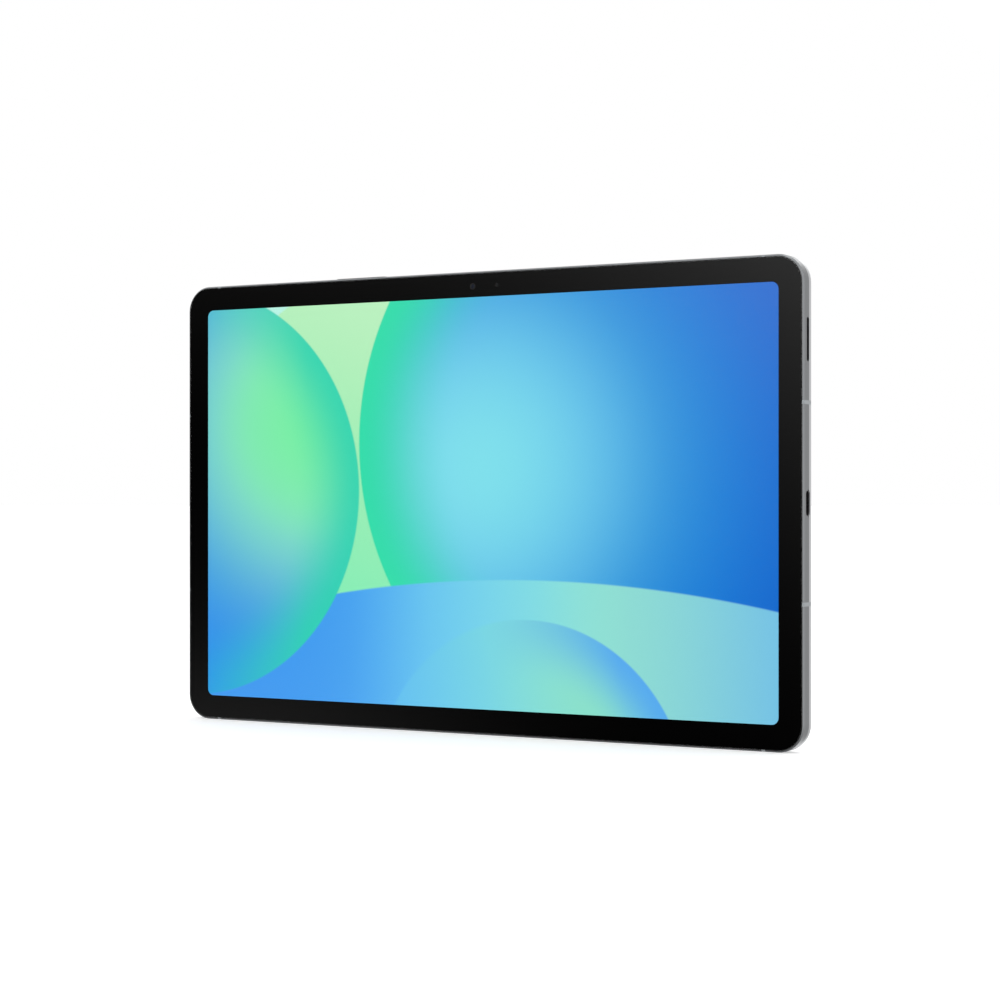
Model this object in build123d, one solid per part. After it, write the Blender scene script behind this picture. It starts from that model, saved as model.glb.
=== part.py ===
from build123d import *
from math import radians, sin
import os

# A slim tablet computer with a one-piece metal housing, built as separate pieces.
# Everything is in millimetres. The model frame has X along the long edges, Y from the
# screen to the back and Z up, with its origin at the middle of the glass's front face.
# save() moves each piece to the part's frame, which stands the tablet on its lower edge.

# Body
body_length = 254.3
body_height = 165.8
body_depth = 6.9
corner_radius = 9.4
side_wall = 1.5
back_wall = 0.8
front_chamfer = 0.5
back_round = 0.6
rim_width = 0.7  # metal left around the glass
rim_setback = 0.12  # the glass stands this far in front of the rim
cut_margin = 0.2  # how far a cut runs past the face it opens
edge_line = 3.6  # depth of the line that keys, slots and socket are centred on

# Display stack, counted from the glass's front face
glass_thickness = 0.6
glass_clearance = 0.06
glass_edge_round = 0.25
mask_thickness = 0.05
mask_inset = 0.1
adhesive_thickness = 0.15
adhesive_inset = 0.4
ledge_width = 2.2
ledge_thickness = 1.0
ledge_notch_clearance = 0.1  # around the front camera, where the ledge comes near it
screen_side_border = 9.15  # from the body's outline to the lit screen
screen_edge_border = 9.15
screen_corner_radius = 2.5
panel_border = 1.3
panel_thickness = 0.7
backlight_inset = 0.1
backlight_thickness = 0.7
plate_gap = 0.3
plate_inset = 0.7
plate_thickness = 0.3
plate_corner_radius = 3.0
inner_clearance = 0.1

# Antenna breaks
break_width = 1.3
break_reach = 6.0  # how far a break runs in over the back
side_break_from_edge = 49.4  # along a short edge, from the long edge beside it
edge_break_from_side = 14.55
carrier_length = 13.0
carrier_height = 8.5

# Cameras and light sensor
front_camera_above_screen = 3.9
front_barrel_diameter = 2.8
front_window_diameter = 2.3
front_lens_diameter = 2.0
front_lens_thickness = 0.35
lens_round = 0.21
front_body_size = 5.6
front_body_depth = 2.2
sensor_offset = 10.0
sensor_window_diameter = 1.5
sensor_length = 2.4
sensor_height = 2.0
sensor_ribbon_width = 1.2
rear_camera_from_side = 22.6
rear_camera_from_top = 19.4
ring_diameter = 13.0
ring_proud = 0.8
ring_edge_round = 0.35
ring_spigot_diameter = 10.9
rear_window_diameter = 8.6
rear_window_thickness = 0.55
rear_window_recess = 0.2
rear_sight_diameter = 7.4
rear_barrel_diameter = 6.4
rear_lens_diameter = 4.4
rear_body_size = 9.0
rear_body_depth = 2.6
camera_fit = 0.05

# Keys on the upper edge
key_width = 2.4
key_clearance = 0.1
key_flange_rim = 0.8
key_flange_side = 0.4
key_flange_thickness = 0.5
key_round = 0.12
key_nib_length = 2.0
key_nib_width = 1.4
key_gap = 0.03
key_room = 1.3  # from the wall's inner face to the tops of the switches
power_key_from_side = 48.3  # from the left short edge to the key's middle
power_key_length = 17.3
power_key_proud = 0.2
power_key_travel = 0.25
power_flange_gap = 0.1
volume_key_from_side = 77.75
volume_key_length = 21.8
volume_key_proud = 0.4
volume_key_angle = 1.2
volume_nib_offset = 8.2
volume_flange_gap = 0.35
rocker_rib_radius = 0.4
rocker_post_width = 1.6
switch_length = 3.4
switch_width = 1.6
switch_height = 0.6
switch_button_height = 0.2
key_strip_overhang = 4.4  # past the power key's end
key_strip_tail = 11.5  # past the volume key's end, under the outer microphone
key_strip_width = 2.6
key_bracket_thickness = 0.5
key_tail_width = 4.0
key_tail_drop = 0.5
post_strip_width = 0.8  # ribbon left beside the rocker's post

# Microphones on the key strip: one between the keys, one past the volume key
microphone_offset = 7.5
microphone_hole = 1.0
microphone_length = 3.0
microphone_width = 2.2
microphone_height = 1.1
microphone_port_depth = 0.3
microphone_gasket_diameter = 2.2

# Card tray, reader and eject linkage
tray_from_side = 84.15  # from the right short edge to the tray's middle
tray_cover_length = 16.5
tray_cover_width = 2.4
tray_cover_depth = 1.4
tray_cover_recess = 0.03
tray_clearance = 0.1
tray_length = 22.0
tray_frame_offset = -1.0
tray_frame_width = 12.4
tray_frame_thickness = 0.9
tray_margin = 2.0  # clear distance once the tray is out
card_width = 11.1
card_length = 15.1
card_thickness = 0.7
card_ledge = 0.9
seal_thickness = 0.3
seal_height = 0.4
seal_squeeze = 0.06
reader_wall = 0.2
reader_side_gap = 0.4
reader_base_gap = 0.15
reader_mouth_gap = 2.6
pin_hole_diameter = 1.0
pin_hole_offset = 6.6
eject_rod_diameter = 0.9
eject_rod_travel = 1.0
eject_rod_gap = 0.6
lever_rod_arm = 3.6
lever_tray_arm = 7.0
lever_overhang = 0.5
lever_width = 0.8
lever_thickness = 0.6
lever_hub_radius = 0.95
lever_rod_gap = 0.05
lever_clearance = 0.3
pivot_radius = 0.5
pivot_clearance = 0.03

# Socket on the right edge
socket_length = 8.94
socket_width = 3.16
socket_wall = 0.3
socket_depth = 7.3
socket_recess = 0.2
socket_clearance = 0.06
tongue_length = 6.69
tongue_thickness = 0.7
tongue_reach = 5.2
tongue_foot = 2.0
gasket_thickness = 0.2
gasket_depth = 1.0
socket_board_length = 22.6
socket_board_height = 32.0
socket_board_gap = 0.35
socket_board_room = 1.05  # from the board's edge to the inner wall
socket_board_corner_radius = 1.0
socket_board_plug_inset = 0.5
socket_board_plug_level = 9.0

# Speakers on the short edges
speaker_slot_length = 14.7
speaker_slot_width = 2.0
speaker_slot_from_edge = 28.45  # from the upper edge to the slot's middle
mesh_depth = 0.6
mesh_thickness = 0.3
mesh_border = 0.7
mesh_clearance = 0.05
speaker_length = 12.2
speaker_height = 36.0
speaker_gap = 1.0
speaker_port_depth = 3.0
speaker_cone_length = 9.0
speaker_cone_height = 16.0
speaker_cone_radius = 3.6
speaker_cone_sink = 0.3
speaker_round = 1.0

# Battery
cell_side_room = 24.65  # from the inner wall, for the speakers and the socket's board
cell_lower_room = 7.4
cell_upper_room = 8.0  # to the main board, for the protection board and the socket's ribbon
cell_gap = 2.0
cell_front_clearance = 0.25
cell_round = 1.2
cell_adhesive = 0.15
cell_strip_width = 18.0
cell_strip_inset = 2.0
cell_strip_shares = (0.25, 0.75)  # where the strips lie along a cell
battery_board_length = 80.0
battery_board_height = 5.0

# Main board
board_thickness = 0.8
board_corner_radius = 1.5
board_boss_height = 0.3
board_boss_diameter = 3.4
board_left_room = 29.65  # from the inner wall, for the rear camera and a speaker
board_right_room = 59.65
board_upper_room = 5.9
board_height = 33.5
connector_height = 0.78
ribbon_thickness = 0.14
chip_height = 1.0
can_height = 1.5
can_wall = 0.2
spreader_thickness = 0.1
spreader_overhang = 1.5

# Chips and lids on the main board, counted from its ends and its lower edge
can_room = 12.0
radio_from_end = 21.0
radio_lift = 3.0
radio_can_size = (18.0, 16.0)
radio_chip_size = (8.0, 8.0)
main_from_end = 59.0
main_can_size = (46.0, 18.0)
processor_offset = 11.0
processor_size = (14.0, 14.0)
storage_offset = 9.0
storage_size = (11.5, 13.0)
power_from_end = 47.0
power_can_size = (18.0, 16.0)
power_chip_size = (8.0, 8.0)

# Plugs and ribbons
plug_length = 6.0
plug_height = 3.0
display_ribbon_centre = -24.0
display_ribbon_width = 24.0
display_plug_room = 8.0
ribbon_bend = 1.6  # how far the display's ribbon stands out past the panel
ribbon_gap = 0.25
ribbon_round = 0.5
battery_plug_room = 3.5
camera_plug_room = 6.0
key_plug_room = 4.5
rear_plug_room = 4.0
socket_plug_from_end = 12.0
socket_plug_room = 5.5

# Screws and posts
screw_from_left = 7.0
screw_from_right = 5.0
screw_from_edge = 4.5
socket_screw_from_wall = 16.65
socket_screw_spread = 12.0
post_from_wall = 17.65
low_post_from_wall = 13.4
middle_post_from_wall = 41.4
upper_post_from_wall = 55.4
top_post_inset = 6.0
top_post_lift = 4.0
screw_diameter = 1.4
screw_head_diameter = 2.5
screw_head_height = 0.28
screw_slot_width = 0.35
screw_slot_length = 1.75
screw_slot_depth = 0.15
screw_fit = 0.02
screw_bite = 0.3  # how far a board screw goes into the back wall
post_diameter = 3.6
post_board_gap = 1.0  # least gap from a post to the socket's board
post_screw_depth = 2.0

# Depths of the layers
mask_back = glass_thickness + mask_thickness
ledge_front = mask_back + adhesive_thickness
ledge_back = ledge_front + ledge_thickness
panel_back = mask_back + panel_thickness
backlight_back = panel_back + backlight_thickness
plate_front = backlight_back + plate_gap
plate_back = plate_front + plate_thickness
inside_front = plate_back + inner_clearance
inside_back = body_depth - back_wall
board_back = inside_back - board_boss_height
board_front = board_back - board_thickness
connector_front = board_front - connector_height
ribbon_front = connector_front - ribbon_thickness
overall_depth = body_depth + ring_proud

# Half sizes and levels
half_length = body_length / 2
half_height = body_height / 2
inner_half_length = half_length - side_wall
inner_half_height = half_height - side_wall
glass_length = body_length - 2 * (rim_width + glass_clearance)
glass_height = body_height - 2 * (rim_width + glass_clearance)
glass_radius = corner_radius - rim_width - glass_clearance
screen_length = body_length - 2 * screen_side_border
screen_height = body_height - 2 * screen_edge_border
panel_length = screen_length + 2 * panel_border
panel_height = screen_height + 2 * panel_border
panel_top = panel_height / 2
front_camera_height = screen_height / 2 + front_camera_above_screen
front_body_back = max(inside_front + front_body_depth, connector_front)  # never short of its cable
rear_camera_x = rear_camera_from_side - half_length
rear_camera_z = half_height - rear_camera_from_top
speaker_slot_centre = half_height - speaker_slot_from_edge
side_break_height = half_height - side_break_from_edge
edge_break_offset = half_length - edge_break_from_side
power_key_centre = power_key_from_side - half_length
volume_key_centre = volume_key_from_side - half_length
key_strip_start = power_key_centre - power_key_length / 2 - key_strip_overhang
key_strip_end = volume_key_centre + volume_key_length / 2 + key_strip_tail
volume_key_start = volume_key_centre - volume_key_length / 2
volume_key_end = volume_key_centre + volume_key_length / 2
power_key_end = power_key_centre + power_key_length / 2
key_tail_centre = (power_key_end + volume_key_start) / 2
microphone_centres = (key_tail_centre, volume_key_end + microphone_offset)
tray_centre = half_length - tray_from_side
switch_top = inner_half_height - key_room
switch_base = switch_top - switch_height
key_strip_back = switch_base - ribbon_thickness
board_left = board_left_room - inner_half_length
board_right = inner_half_length - board_right_room
board_top = inner_half_height - board_upper_room
board_bottom = board_top - board_height
cell_bottom = cell_lower_room - inner_half_height
cell_top = board_bottom - cell_upper_room
cell_length = inner_half_length - cell_side_room - cell_gap / 2
tray_top = half_height - tray_cover_recess
tray_bottom = tray_top - tray_length
tray_frame_centre = tray_centre + tray_frame_offset
tray_travel = tray_length + tray_margin
rod_x = tray_centre + pin_hole_offset
pivot_x = rod_x - lever_rod_arm
lever_angle = eject_rod_travel / lever_rod_arm  # radians
pivot_z = tray_bottom - lever_clearance - lever_tray_arm * sin(lever_angle) - lever_width / 2
rod_bottom = pivot_z + lever_width / 2 + lever_rod_gap
rod_top = tray_top - tray_cover_depth - eject_rod_gap
lever_dip = (lever_rod_arm + lever_overhang) * sin(lever_angle) + lever_width / 2
reader_floor = pivot_z - lever_dip - lever_clearance
socket_mouth = half_length - socket_recess
socket_rear = socket_mouth - socket_depth
mesh_outer = half_length - mesh_depth
mesh_inner = mesh_outer - mesh_thickness
speaker_outer = inner_half_length - speaker_gap
socket_board_right = inner_half_length - socket_board_room
socket_board_left = socket_board_right - socket_board_length

# Places on the boards and in the housing: centres as (x, z) and sizes as (length, height)
can_level = board_bottom + can_room
radio_place = (board_left + radio_from_end, can_level + radio_lift)
main_place = (board_left + main_from_end, can_level)
processor_place = (main_place[0] - processor_offset, can_level)
storage_place = (main_place[0] + storage_offset, can_level)
power_place = (board_right - power_from_end, can_level)
cans = (
    (main_place, main_can_size),
    (power_place, power_can_size),
    (radio_place, radio_can_size),
)
board_screw_places = tuple(
    (x, z)
    for x in (board_left + screw_from_left, board_right - screw_from_right)
    for z in (board_bottom + screw_from_edge, board_top - screw_from_edge)
)
socket_screw_x = inner_half_length - socket_screw_from_wall
socket_screw_places = ((socket_screw_x, -socket_screw_spread), (socket_screw_x, socket_screw_spread))
post_x = inner_half_length - post_from_wall
post_from_middle = (socket_board_height + post_diameter) / 2 + post_board_gap
post_places = (
    (post_x, low_post_from_wall - inner_half_height),
    (post_x, min(middle_post_from_wall - inner_half_height, -post_from_middle)),
    (post_x, max(inner_half_height - upper_post_from_wall, post_from_middle)),
    (post_x - top_post_inset, board_bottom + top_post_lift),
)
display_plug_height = board_top - display_plug_room
battery_plug_height = board_bottom + battery_plug_room
camera_plug_height = board_top - camera_plug_room
key_plug_height = board_top - key_plug_room
rear_plug_x = board_left + rear_plug_room
socket_plug = (board_right - socket_plug_from_end, board_bottom + socket_plug_room)


def slab(sketch, front, back):
    """A sketch in X and Z, from depth front to depth back."""
    plane = Plane(origin=(0, back, 0), x_dir=(1, 0, 0), z_dir=(0, -1, 0))
    return extrude(plane * sketch, back - front)


def rise(sketch, low, high):
    """A sketch in X and depth, from height low to height high."""
    return extrude(Pos(0, 0, low) * sketch, high - low)


def reach(sketch, start, end):
    """A sketch in depth and Z, from X start to X end."""
    return extrude(Plane.YZ.offset(start) * sketch, end - start)


def block(x, depth, z):
    """A box given by its two ends along X, depth and Z."""
    size = (x[1] - x[0], depth[1] - depth[0], z[1] - z[0])
    return Pos(sum(x) / 2, sum(depth) / 2, sum(z) / 2) * Box(*size)


def tile(place, size, front, back):
    """A box at a place in X and Z, from depth front to depth back."""
    return slab(Pos(*place) * Rectangle(*size), front, back)


def disc(place, diameter, front, back):
    """A round piece along the depth."""
    return slab(Pos(*place) * Circle(diameter / 2), front, back)


def rounded(inset):
    """The body's outline, drawn inset from its outer face."""
    radius = corner_radius - inset
    return RectangleRounded(body_length - 2 * inset, body_height - 2 * inset, radius)


def edge_slot(centre, length, width):
    """A long round-ended outline on the upper edge's line."""
    return Pos(centre, edge_line) * SlotOverall(length, width)


def side_slot(centre, length, width):
    """A long round-ended outline on a short edge's line."""
    return Pos(edge_line, centre) * SlotOverall(length, width, rotation=90)


def across(piece):
    """The same piece on the other short edge."""
    return mirror(piece, about=Plane.YZ)


def ribbon(points, width):
    """A flat flexible cable at the plugs' level, through points in X and Z."""
    runs = [run_of_ribbon(a, b, width) for a, b in zip(points, points[1:])]
    return slab(Sketch() + runs, ribbon_front, connector_front)


def run_of_ribbon(start, end, width):
    """One straight run of a ribbon, with half its width past both ends at a corner."""
    middle = ((start[0] + end[0]) / 2, (start[1] + end[1]) / 2)
    length = abs(end[0] - start[0]) + width
    height = abs(end[1] - start[1]) + width
    return Pos(*middle) * Rectangle(length, height)


def plug(place, length=plug_length, height=plug_height):
    """A connector on a board's front face."""
    return tile(place, (length, height), connector_front, board_front)


def screw(place, seat, tip):
    """A screw whose head sits on depth seat, with a crossed slot in the head."""
    head = disc(place, screw_head_diameter, seat - screw_head_height, seat)
    cross = Rectangle(screw_slot_width, screw_slot_length)
    cross += Rot(0, 0, 90) * cross
    front = seat - screw_head_height
    slot = slab(Pos(*place) * cross, front, front + screw_slot_depth)
    return head - slot + disc(place, screw_diameter, seat, tip)


def cavity():
    """The space behind the ledge."""
    return slab(rounded(side_wall), ledge_back, inside_back)


def body_blank():
    blank = slab(rounded(0), rim_setback, body_depth)
    front_edges = blank.faces().sort_by(Axis.Y)[0].edges()
    blank = chamfer(front_edges, front_chamfer)
    back_edges = blank.faces().sort_by(Axis.Y)[-1].edges()
    return fillet(back_edges, back_round)


def ledge_opening():
    """The ledge's inner outline, with room for the front camera's barrel."""
    width = front_barrel_diameter + 2 * ledge_notch_clearance
    notch = Pos(0, front_camera_height) * Circle(width / 2)
    return rounded(side_wall + ledge_width) + notch


def hollow_body():
    """The metal shell before its holes: a tray with a ledge that carries the glass."""
    pocket = slab(rounded(rim_width), 0, ledge_front)
    window = slab(ledge_opening(), 0, ledge_back)
    return body_blank() - pocket - window - cavity()


def break_cutters():
    """Where the plastic breaks cross the shell: two on each edge."""
    cutters = []
    depth = (0, body_depth + cut_margin)
    for side in (-1, 1):
        for end in (-1, 1):
            out = (half_length + cut_margin, half_height + cut_margin)
            into = (half_length - break_reach, half_height - break_reach)
            x = sorted((side * into[0], side * out[0]))
            z = sorted((end * into[1], end * out[1]))
            across_x = centred(side * edge_break_offset, break_width)
            across_z = centred(end * side_break_height, break_width)
            cutters.append(block(x, depth, across_z))
            cutters.append(block(across_x, depth, z))
    return cutters


def centred(middle, width):
    return (middle - width / 2, middle + width / 2)


def upper_edge_holes():
    """Openings for the keys, the tray and the microphones."""
    low = inner_half_height - cut_margin
    high = half_height + cut_margin
    play = 2 * key_clearance
    room = 2 * tray_clearance
    slots = [
        edge_slot(power_key_centre, power_key_length + play, key_width + play),
        edge_slot(volume_key_centre, volume_key_length + play, key_width + play),
        edge_slot(tray_centre, tray_cover_length + room, tray_cover_width + room),
    ]
    slots += [Pos(x, edge_line) * Circle(microphone_hole / 2) for x in microphone_centres]
    return [rise(slot, low, high) for slot in slots]


def side_holes():
    """Openings for the socket and the two speakers, each speaker with a seat for its mesh."""
    play = 2 * socket_clearance
    socket = side_slot(0, socket_length + play, socket_width + play)
    slot = side_slot(speaker_slot_centre, speaker_slot_length, speaker_slot_width)
    seat = side_slot(speaker_slot_centre, *mesh_outline(mesh_clearance))
    inside = inner_half_length - cut_margin
    outside = half_length + cut_margin
    speaker = reach(slot, mesh_outer - cut_margin, outside) + reach(seat, inside, mesh_outer)
    return [reach(socket, inside, outside), speaker, across(speaker)]


def mesh_outline(extra=0.0):
    grow = 2 * (mesh_border + extra)
    return (speaker_slot_length + grow, speaker_slot_width + grow)


def all_posts():
    return post_places + tuple((-x, z) for x, z in post_places)


def bosses():
    """Short bosses under the boards and tall posts under the display's plate."""
    low = [
        disc(place, board_boss_diameter, board_back, inside_back)
        for place in board_screw_places + socket_screw_places
    ]
    tall = [disc(place, post_diameter, plate_back, inside_back) for place in all_posts()]
    return low + tall


def screw_holes():
    width = screw_diameter + 2 * screw_fit
    low = [
        disc(place, width, board_back, inside_back + screw_bite)
        for place in board_screw_places + socket_screw_places
    ]
    tall = [
        disc(place, width, plate_back, plate_back + post_screw_depth) for place in all_posts()
    ]
    return low + tall


def rear_housing():
    shell = hollow_body() - break_cutters() + bosses()
    camera_hole = disc((rear_camera_x, rear_camera_z), ring_spigot_diameter + 2 * camera_fit,
                       inside_back, body_depth)
    return shell - screw_holes() - upper_edge_holes() - side_holes() - camera_hole


def antenna_breaks():
    shell = hollow_body()
    return [shell & cutter for cutter in break_cutters()]


def antenna_carriers():
    """Moulded blocks that carry the aerials, one in each corner."""
    carriers = []
    for side in (-1, 1):
        for end in (-1, 1):
            x = sorted((side * (inner_half_length - carrier_length), side * half_length))
            z = sorted((end * (inner_half_height - carrier_height), end * half_height))
            carriers.append(block(x, (inside_front, inside_back), z) & cavity())
    return carriers


def cover_glass():
    outline = RectangleRounded(glass_length, glass_height, glass_radius)
    glass = slab(outline, 0, glass_thickness)
    return fillet(glass.faces().sort_by(Axis.Y)[0].edges(), glass_edge_round)


def border_mask():
    """The printed black border behind the glass, clear over the screen and its sensors."""
    shrink = 2 * mask_inset
    ring = RectangleRounded(glass_length - shrink, glass_height - shrink, glass_radius - mask_inset)
    ring -= RectangleRounded(screen_length, screen_height, screen_corner_radius)
    ring -= Pos(0, front_camera_height) * Circle(front_window_diameter / 2)
    ring -= Pos(sensor_offset, front_camera_height) * Circle(sensor_window_diameter / 2)
    return slab(ring, glass_thickness, mask_back)


def display_adhesive():
    """The tape frame that bonds the glass to the ledge."""
    outer = rim_width + glass_clearance + adhesive_inset
    return slab(rounded(outer) - ledge_opening(), mask_back, ledge_front)


def display_panel():
    return slab(Rectangle(panel_length, panel_height), mask_back, panel_back)


def backlight_unit():
    shrink = 2 * backlight_inset
    outline = Rectangle(panel_length - shrink, panel_height - shrink)
    return slab(outline, panel_back, backlight_back)


def display_plate():
    """The sheet metal plate that stiffens the body behind the display."""
    shrink = 2 * plate_inset
    plate = RectangleRounded(panel_length - shrink, panel_height - shrink, plate_corner_radius)
    plate -= [Pos(*place) * Circle(screw_diameter / 2 + screw_fit) for place in all_posts()]
    return slab(plate, plate_front, plate_back)


def plate_screws():
    tip = plate_back + post_screw_depth - screw_fit
    return [screw(place, plate_front, tip) for place in all_posts()]


def display_ribbon():
    """The display's cable: out of the panel's top edge, around the plate, down to its plug."""
    out = panel_top + ribbon_bend
    level = inside_front + ribbon_gap
    end = (ribbon_front + connector_front) / 2
    start = (mask_back + panel_back) / 2
    path = FilletPolyline(
        (start, panel_top),
        (start, out),
        (level, out),
        (level, display_plug_height + 2 * plug_height - 1),
        (end, display_plug_height + plug_height),
        (end, display_plug_height - plug_height / 2),
        radius=ribbon_round,
    )
    band = trace(path, line_width=ribbon_thickness)
    x = centred(display_ribbon_centre, display_ribbon_width)
    return reach(band, *x)


def battery_cell():
    front = inside_front + cell_front_clearance
    back = inside_back - cell_adhesive
    x = (cell_gap / 2, cell_gap / 2 + cell_length)
    cell = block(x, (front, back), (cell_bottom, cell_top))
    return fillet(cell.edges().filter_by(Axis.Z), cell_round)


def battery_adhesive():
    """Two strips of tape under each cell."""
    strips = []
    for side in (-1, 1):
        for share in cell_strip_shares:
            x = side * (cell_gap / 2 + cell_length * share)
            z = (cell_bottom + cell_strip_inset, cell_top - cell_strip_inset)
            depth = (inside_back - cell_adhesive, inside_back)
            strips.append(block(centred(x, cell_strip_width), depth, z))
    return strips


def battery_board():
    """The cells' protection board, taped along their upper ends."""
    middle = cell_top + battery_board_height / 2
    size = (battery_board_length, battery_board_height)
    return tile((0, middle), size, connector_front, board_front)


def battery_ribbon():
    width = plug_length
    low = cell_top + battery_board_height / 2
    return ribbon(((0, low + 1), (0, battery_plug_height)), width)


def main_board():
    length = board_right - board_left
    height = board_top - board_bottom
    middle = ((board_left + board_right) / 2, (board_bottom + board_top) / 2)
    board = Pos(*middle) * RectangleRounded(length, height, board_corner_radius)
    board -= [Pos(*place) * Circle(screw_diameter / 2 + screw_fit) for place in board_screw_places]
    return slab(board, board_front, board_back)


def chip(place, size):
    return tile(place, size, board_front - chip_height, board_front)


def shield_cans():
    """Thin metal lids over the chips, open towards the board."""
    lids = []
    front = board_front - can_height
    for place, size in cans:
        inner = tuple(value - 2 * can_wall for value in size)
        lid = tile(place, size, front, board_front)
        lids.append(lid - tile(place, inner, front + can_wall, board_front))
    return lids


def heat_spreader():
    """A graphite sheet over all the cans."""
    left = min(place[0] - size[0] / 2 for place, size in cans)
    right = max(place[0] + size[0] / 2 for place, size in cans)
    low = min(place[1] - size[1] / 2 for place, size in cans)
    high = max(place[1] + size[1] / 2 for place, size in cans)
    back = board_front - can_height
    x = (left - spreader_overhang, right + spreader_overhang)
    return block(x, (back - spreader_thickness, back), (low, high))


def board_connectors():
    """The sockets that the ribbons plug into."""
    return [
        plug((0, battery_plug_height)),
        plug((0, camera_plug_height)),
        plug((display_ribbon_centre, display_plug_height), length=display_ribbon_width),
        plug((key_tail_centre, key_plug_height)),
        plug((rear_plug_x, rear_camera_z), length=plug_height, height=plug_length),
        plug(socket_plug),
        plug(socket_board_plug()),
    ]


def board_screws():
    tip = inside_back + screw_bite - screw_fit
    return [screw(place, board_front, tip) for place in board_screw_places + socket_screw_places]


def socket_board_plug():
    """The middle of the plug at the socket board's inner edge."""
    x = socket_board_left + socket_board_plug_inset + plug_height / 2
    return (x, socket_board_plug_level)


def usb_board():
    """The small board behind the socket, with a gap that the socket sinks into."""
    outline = (socket_board_length, socket_board_height)
    board = RectangleRounded(*outline, socket_board_corner_radius)
    board = Pos((socket_board_left + socket_board_right) / 2, 0) * board
    notch_x = (socket_rear - socket_board_gap, socket_board_right + cut_margin)
    notch = Rectangle(notch_x[1] - notch_x[0], socket_length + 2 * socket_board_gap)
    board -= Pos(sum(notch_x) / 2, 0) * notch
    holes = [Pos(*place) * Circle(screw_diameter / 2 + screw_fit) for place in socket_screw_places]
    return slab(board - holes, board_front, board_back)


def usb_shell():
    shrink = 2 * socket_wall
    outer = side_slot(0, socket_length, socket_width)
    inner = side_slot(0, socket_length - shrink, socket_width - shrink)
    return reach(outer - inner, socket_rear, socket_mouth)


def usb_tongue():
    """The socket's insulator: a plug in the shell's rear, its tongue and its foot."""
    shrink = 2 * (socket_wall + camera_fit)
    base_front = socket_mouth - tongue_reach - 1
    base = reach(side_slot(0, socket_length - shrink, socket_width - shrink), socket_rear, base_front)
    depth = centred(edge_line, tongue_thickness)
    tongue = block((base_front, base_front + tongue_reach), depth, centred(0, tongue_length))
    foot = block(
        (socket_rear - tongue_foot, socket_rear),
        (edge_line - tongue_thickness, board_front),
        centred(0, tongue_length),
    )
    return base + tongue + foot


def usb_gasket():
    """The rubber ring that seals the socket to the wall."""
    grow = 2 * gasket_thickness
    outer = side_slot(0, socket_length + grow, socket_width + grow)
    ring = outer - side_slot(0, socket_length, socket_width)
    return reach(ring, inner_half_length - gasket_depth, inner_half_length)


def usb_ribbon():
    """The cable from the socket's board to the main board, past the battery's corner."""
    start = socket_board_plug()
    level = (cell_top + board_bottom) / 2
    corner = (start[0], level)
    turn = (socket_plug[0], level)
    return ribbon((start, corner, turn, socket_plug), plug_height)


def speaker():
    """A sealed speaker box with its port towards the wall and its cone to the front."""
    x = (speaker_outer - speaker_length, speaker_outer)
    low = speaker_slot_centre - speaker_height / 2
    box = block(x, (inside_front, inside_back), (low, low + speaker_height))
    box = fillet(box.edges().filter_by(Axis.Y), speaker_round)
    cone = RectangleRounded(speaker_cone_length, speaker_cone_height, speaker_cone_radius)
    sink = slab(Pos(sum(x) / 2, speaker_slot_centre) * cone, inside_front,
                inside_front + speaker_cone_sink)
    slot = side_slot(speaker_slot_centre, speaker_slot_length, speaker_slot_width)
    return box - sink - reach(slot, speaker_outer - speaker_port_depth, speaker_outer)


def speaker_gasket():
    """The foam frame between a speaker's port and its mesh."""
    slot = side_slot(speaker_slot_centre, speaker_slot_length, speaker_slot_width)
    frame = side_slot(speaker_slot_centre, *mesh_outline()) - slot
    return reach(frame, speaker_outer, mesh_inner)


def speaker_mesh():
    return reach(side_slot(speaker_slot_centre, *mesh_outline()), mesh_inner, mesh_outer)


def front_camera():
    """The camera's body behind the plate's edge and its narrow barrel up to the glass."""
    place = (0, front_camera_height)
    barrel_front = mask_back + camera_fit
    barrel = disc(place, front_barrel_diameter, barrel_front, inside_front)
    seat = disc(place, front_lens_diameter + 2 * screw_fit, barrel_front,
                barrel_front + front_lens_thickness)
    body = tile(place, (front_body_size, front_body_size), inside_front, front_body_back)
    return barrel + body - seat


def front_camera_lens():
    front = mask_back + camera_fit
    place = (0, front_camera_height)
    lens = disc(place, front_lens_diameter, front, front + front_lens_thickness)
    return fillet(lens.faces().sort_by(Axis.Y)[0].edges(), lens_round)


def front_camera_ribbon():
    """The camera's cable, with a wing that carries the light sensor."""
    depth = (ribbon_front, connector_front)
    side = front_body_size / 2
    edge = front_camera_height - side
    neck_z = (edge - sensor_ribbon_width, edge)
    tail = block(centred(0, plug_length), depth, (camera_plug_height - plug_height / 2, edge))
    neck = block((0, side + sensor_ribbon_width), depth, neck_z)
    link = block((side, side + sensor_ribbon_width), depth, (neck_z[0], front_camera_height))
    wing_x = (side, sensor_offset + sensor_length / 2)
    return tail + neck + link + block(wing_x, depth, centred(front_camera_height, sensor_height))


def light_sensor():
    """The sensor and its moulded light guide, up to the mask's small window."""
    front = mask_back + camera_fit
    size = (sensor_length, sensor_height)
    guide = disc((sensor_offset, front_camera_height), sensor_window_diameter, front, inside_front)
    return guide + tile((sensor_offset, front_camera_height), size, inside_front, ribbon_front)


def rear_place():
    return (rear_camera_x, rear_camera_z)


def rear_window_seat():
    return body_depth + ring_proud - rear_window_recess - rear_window_thickness


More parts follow.
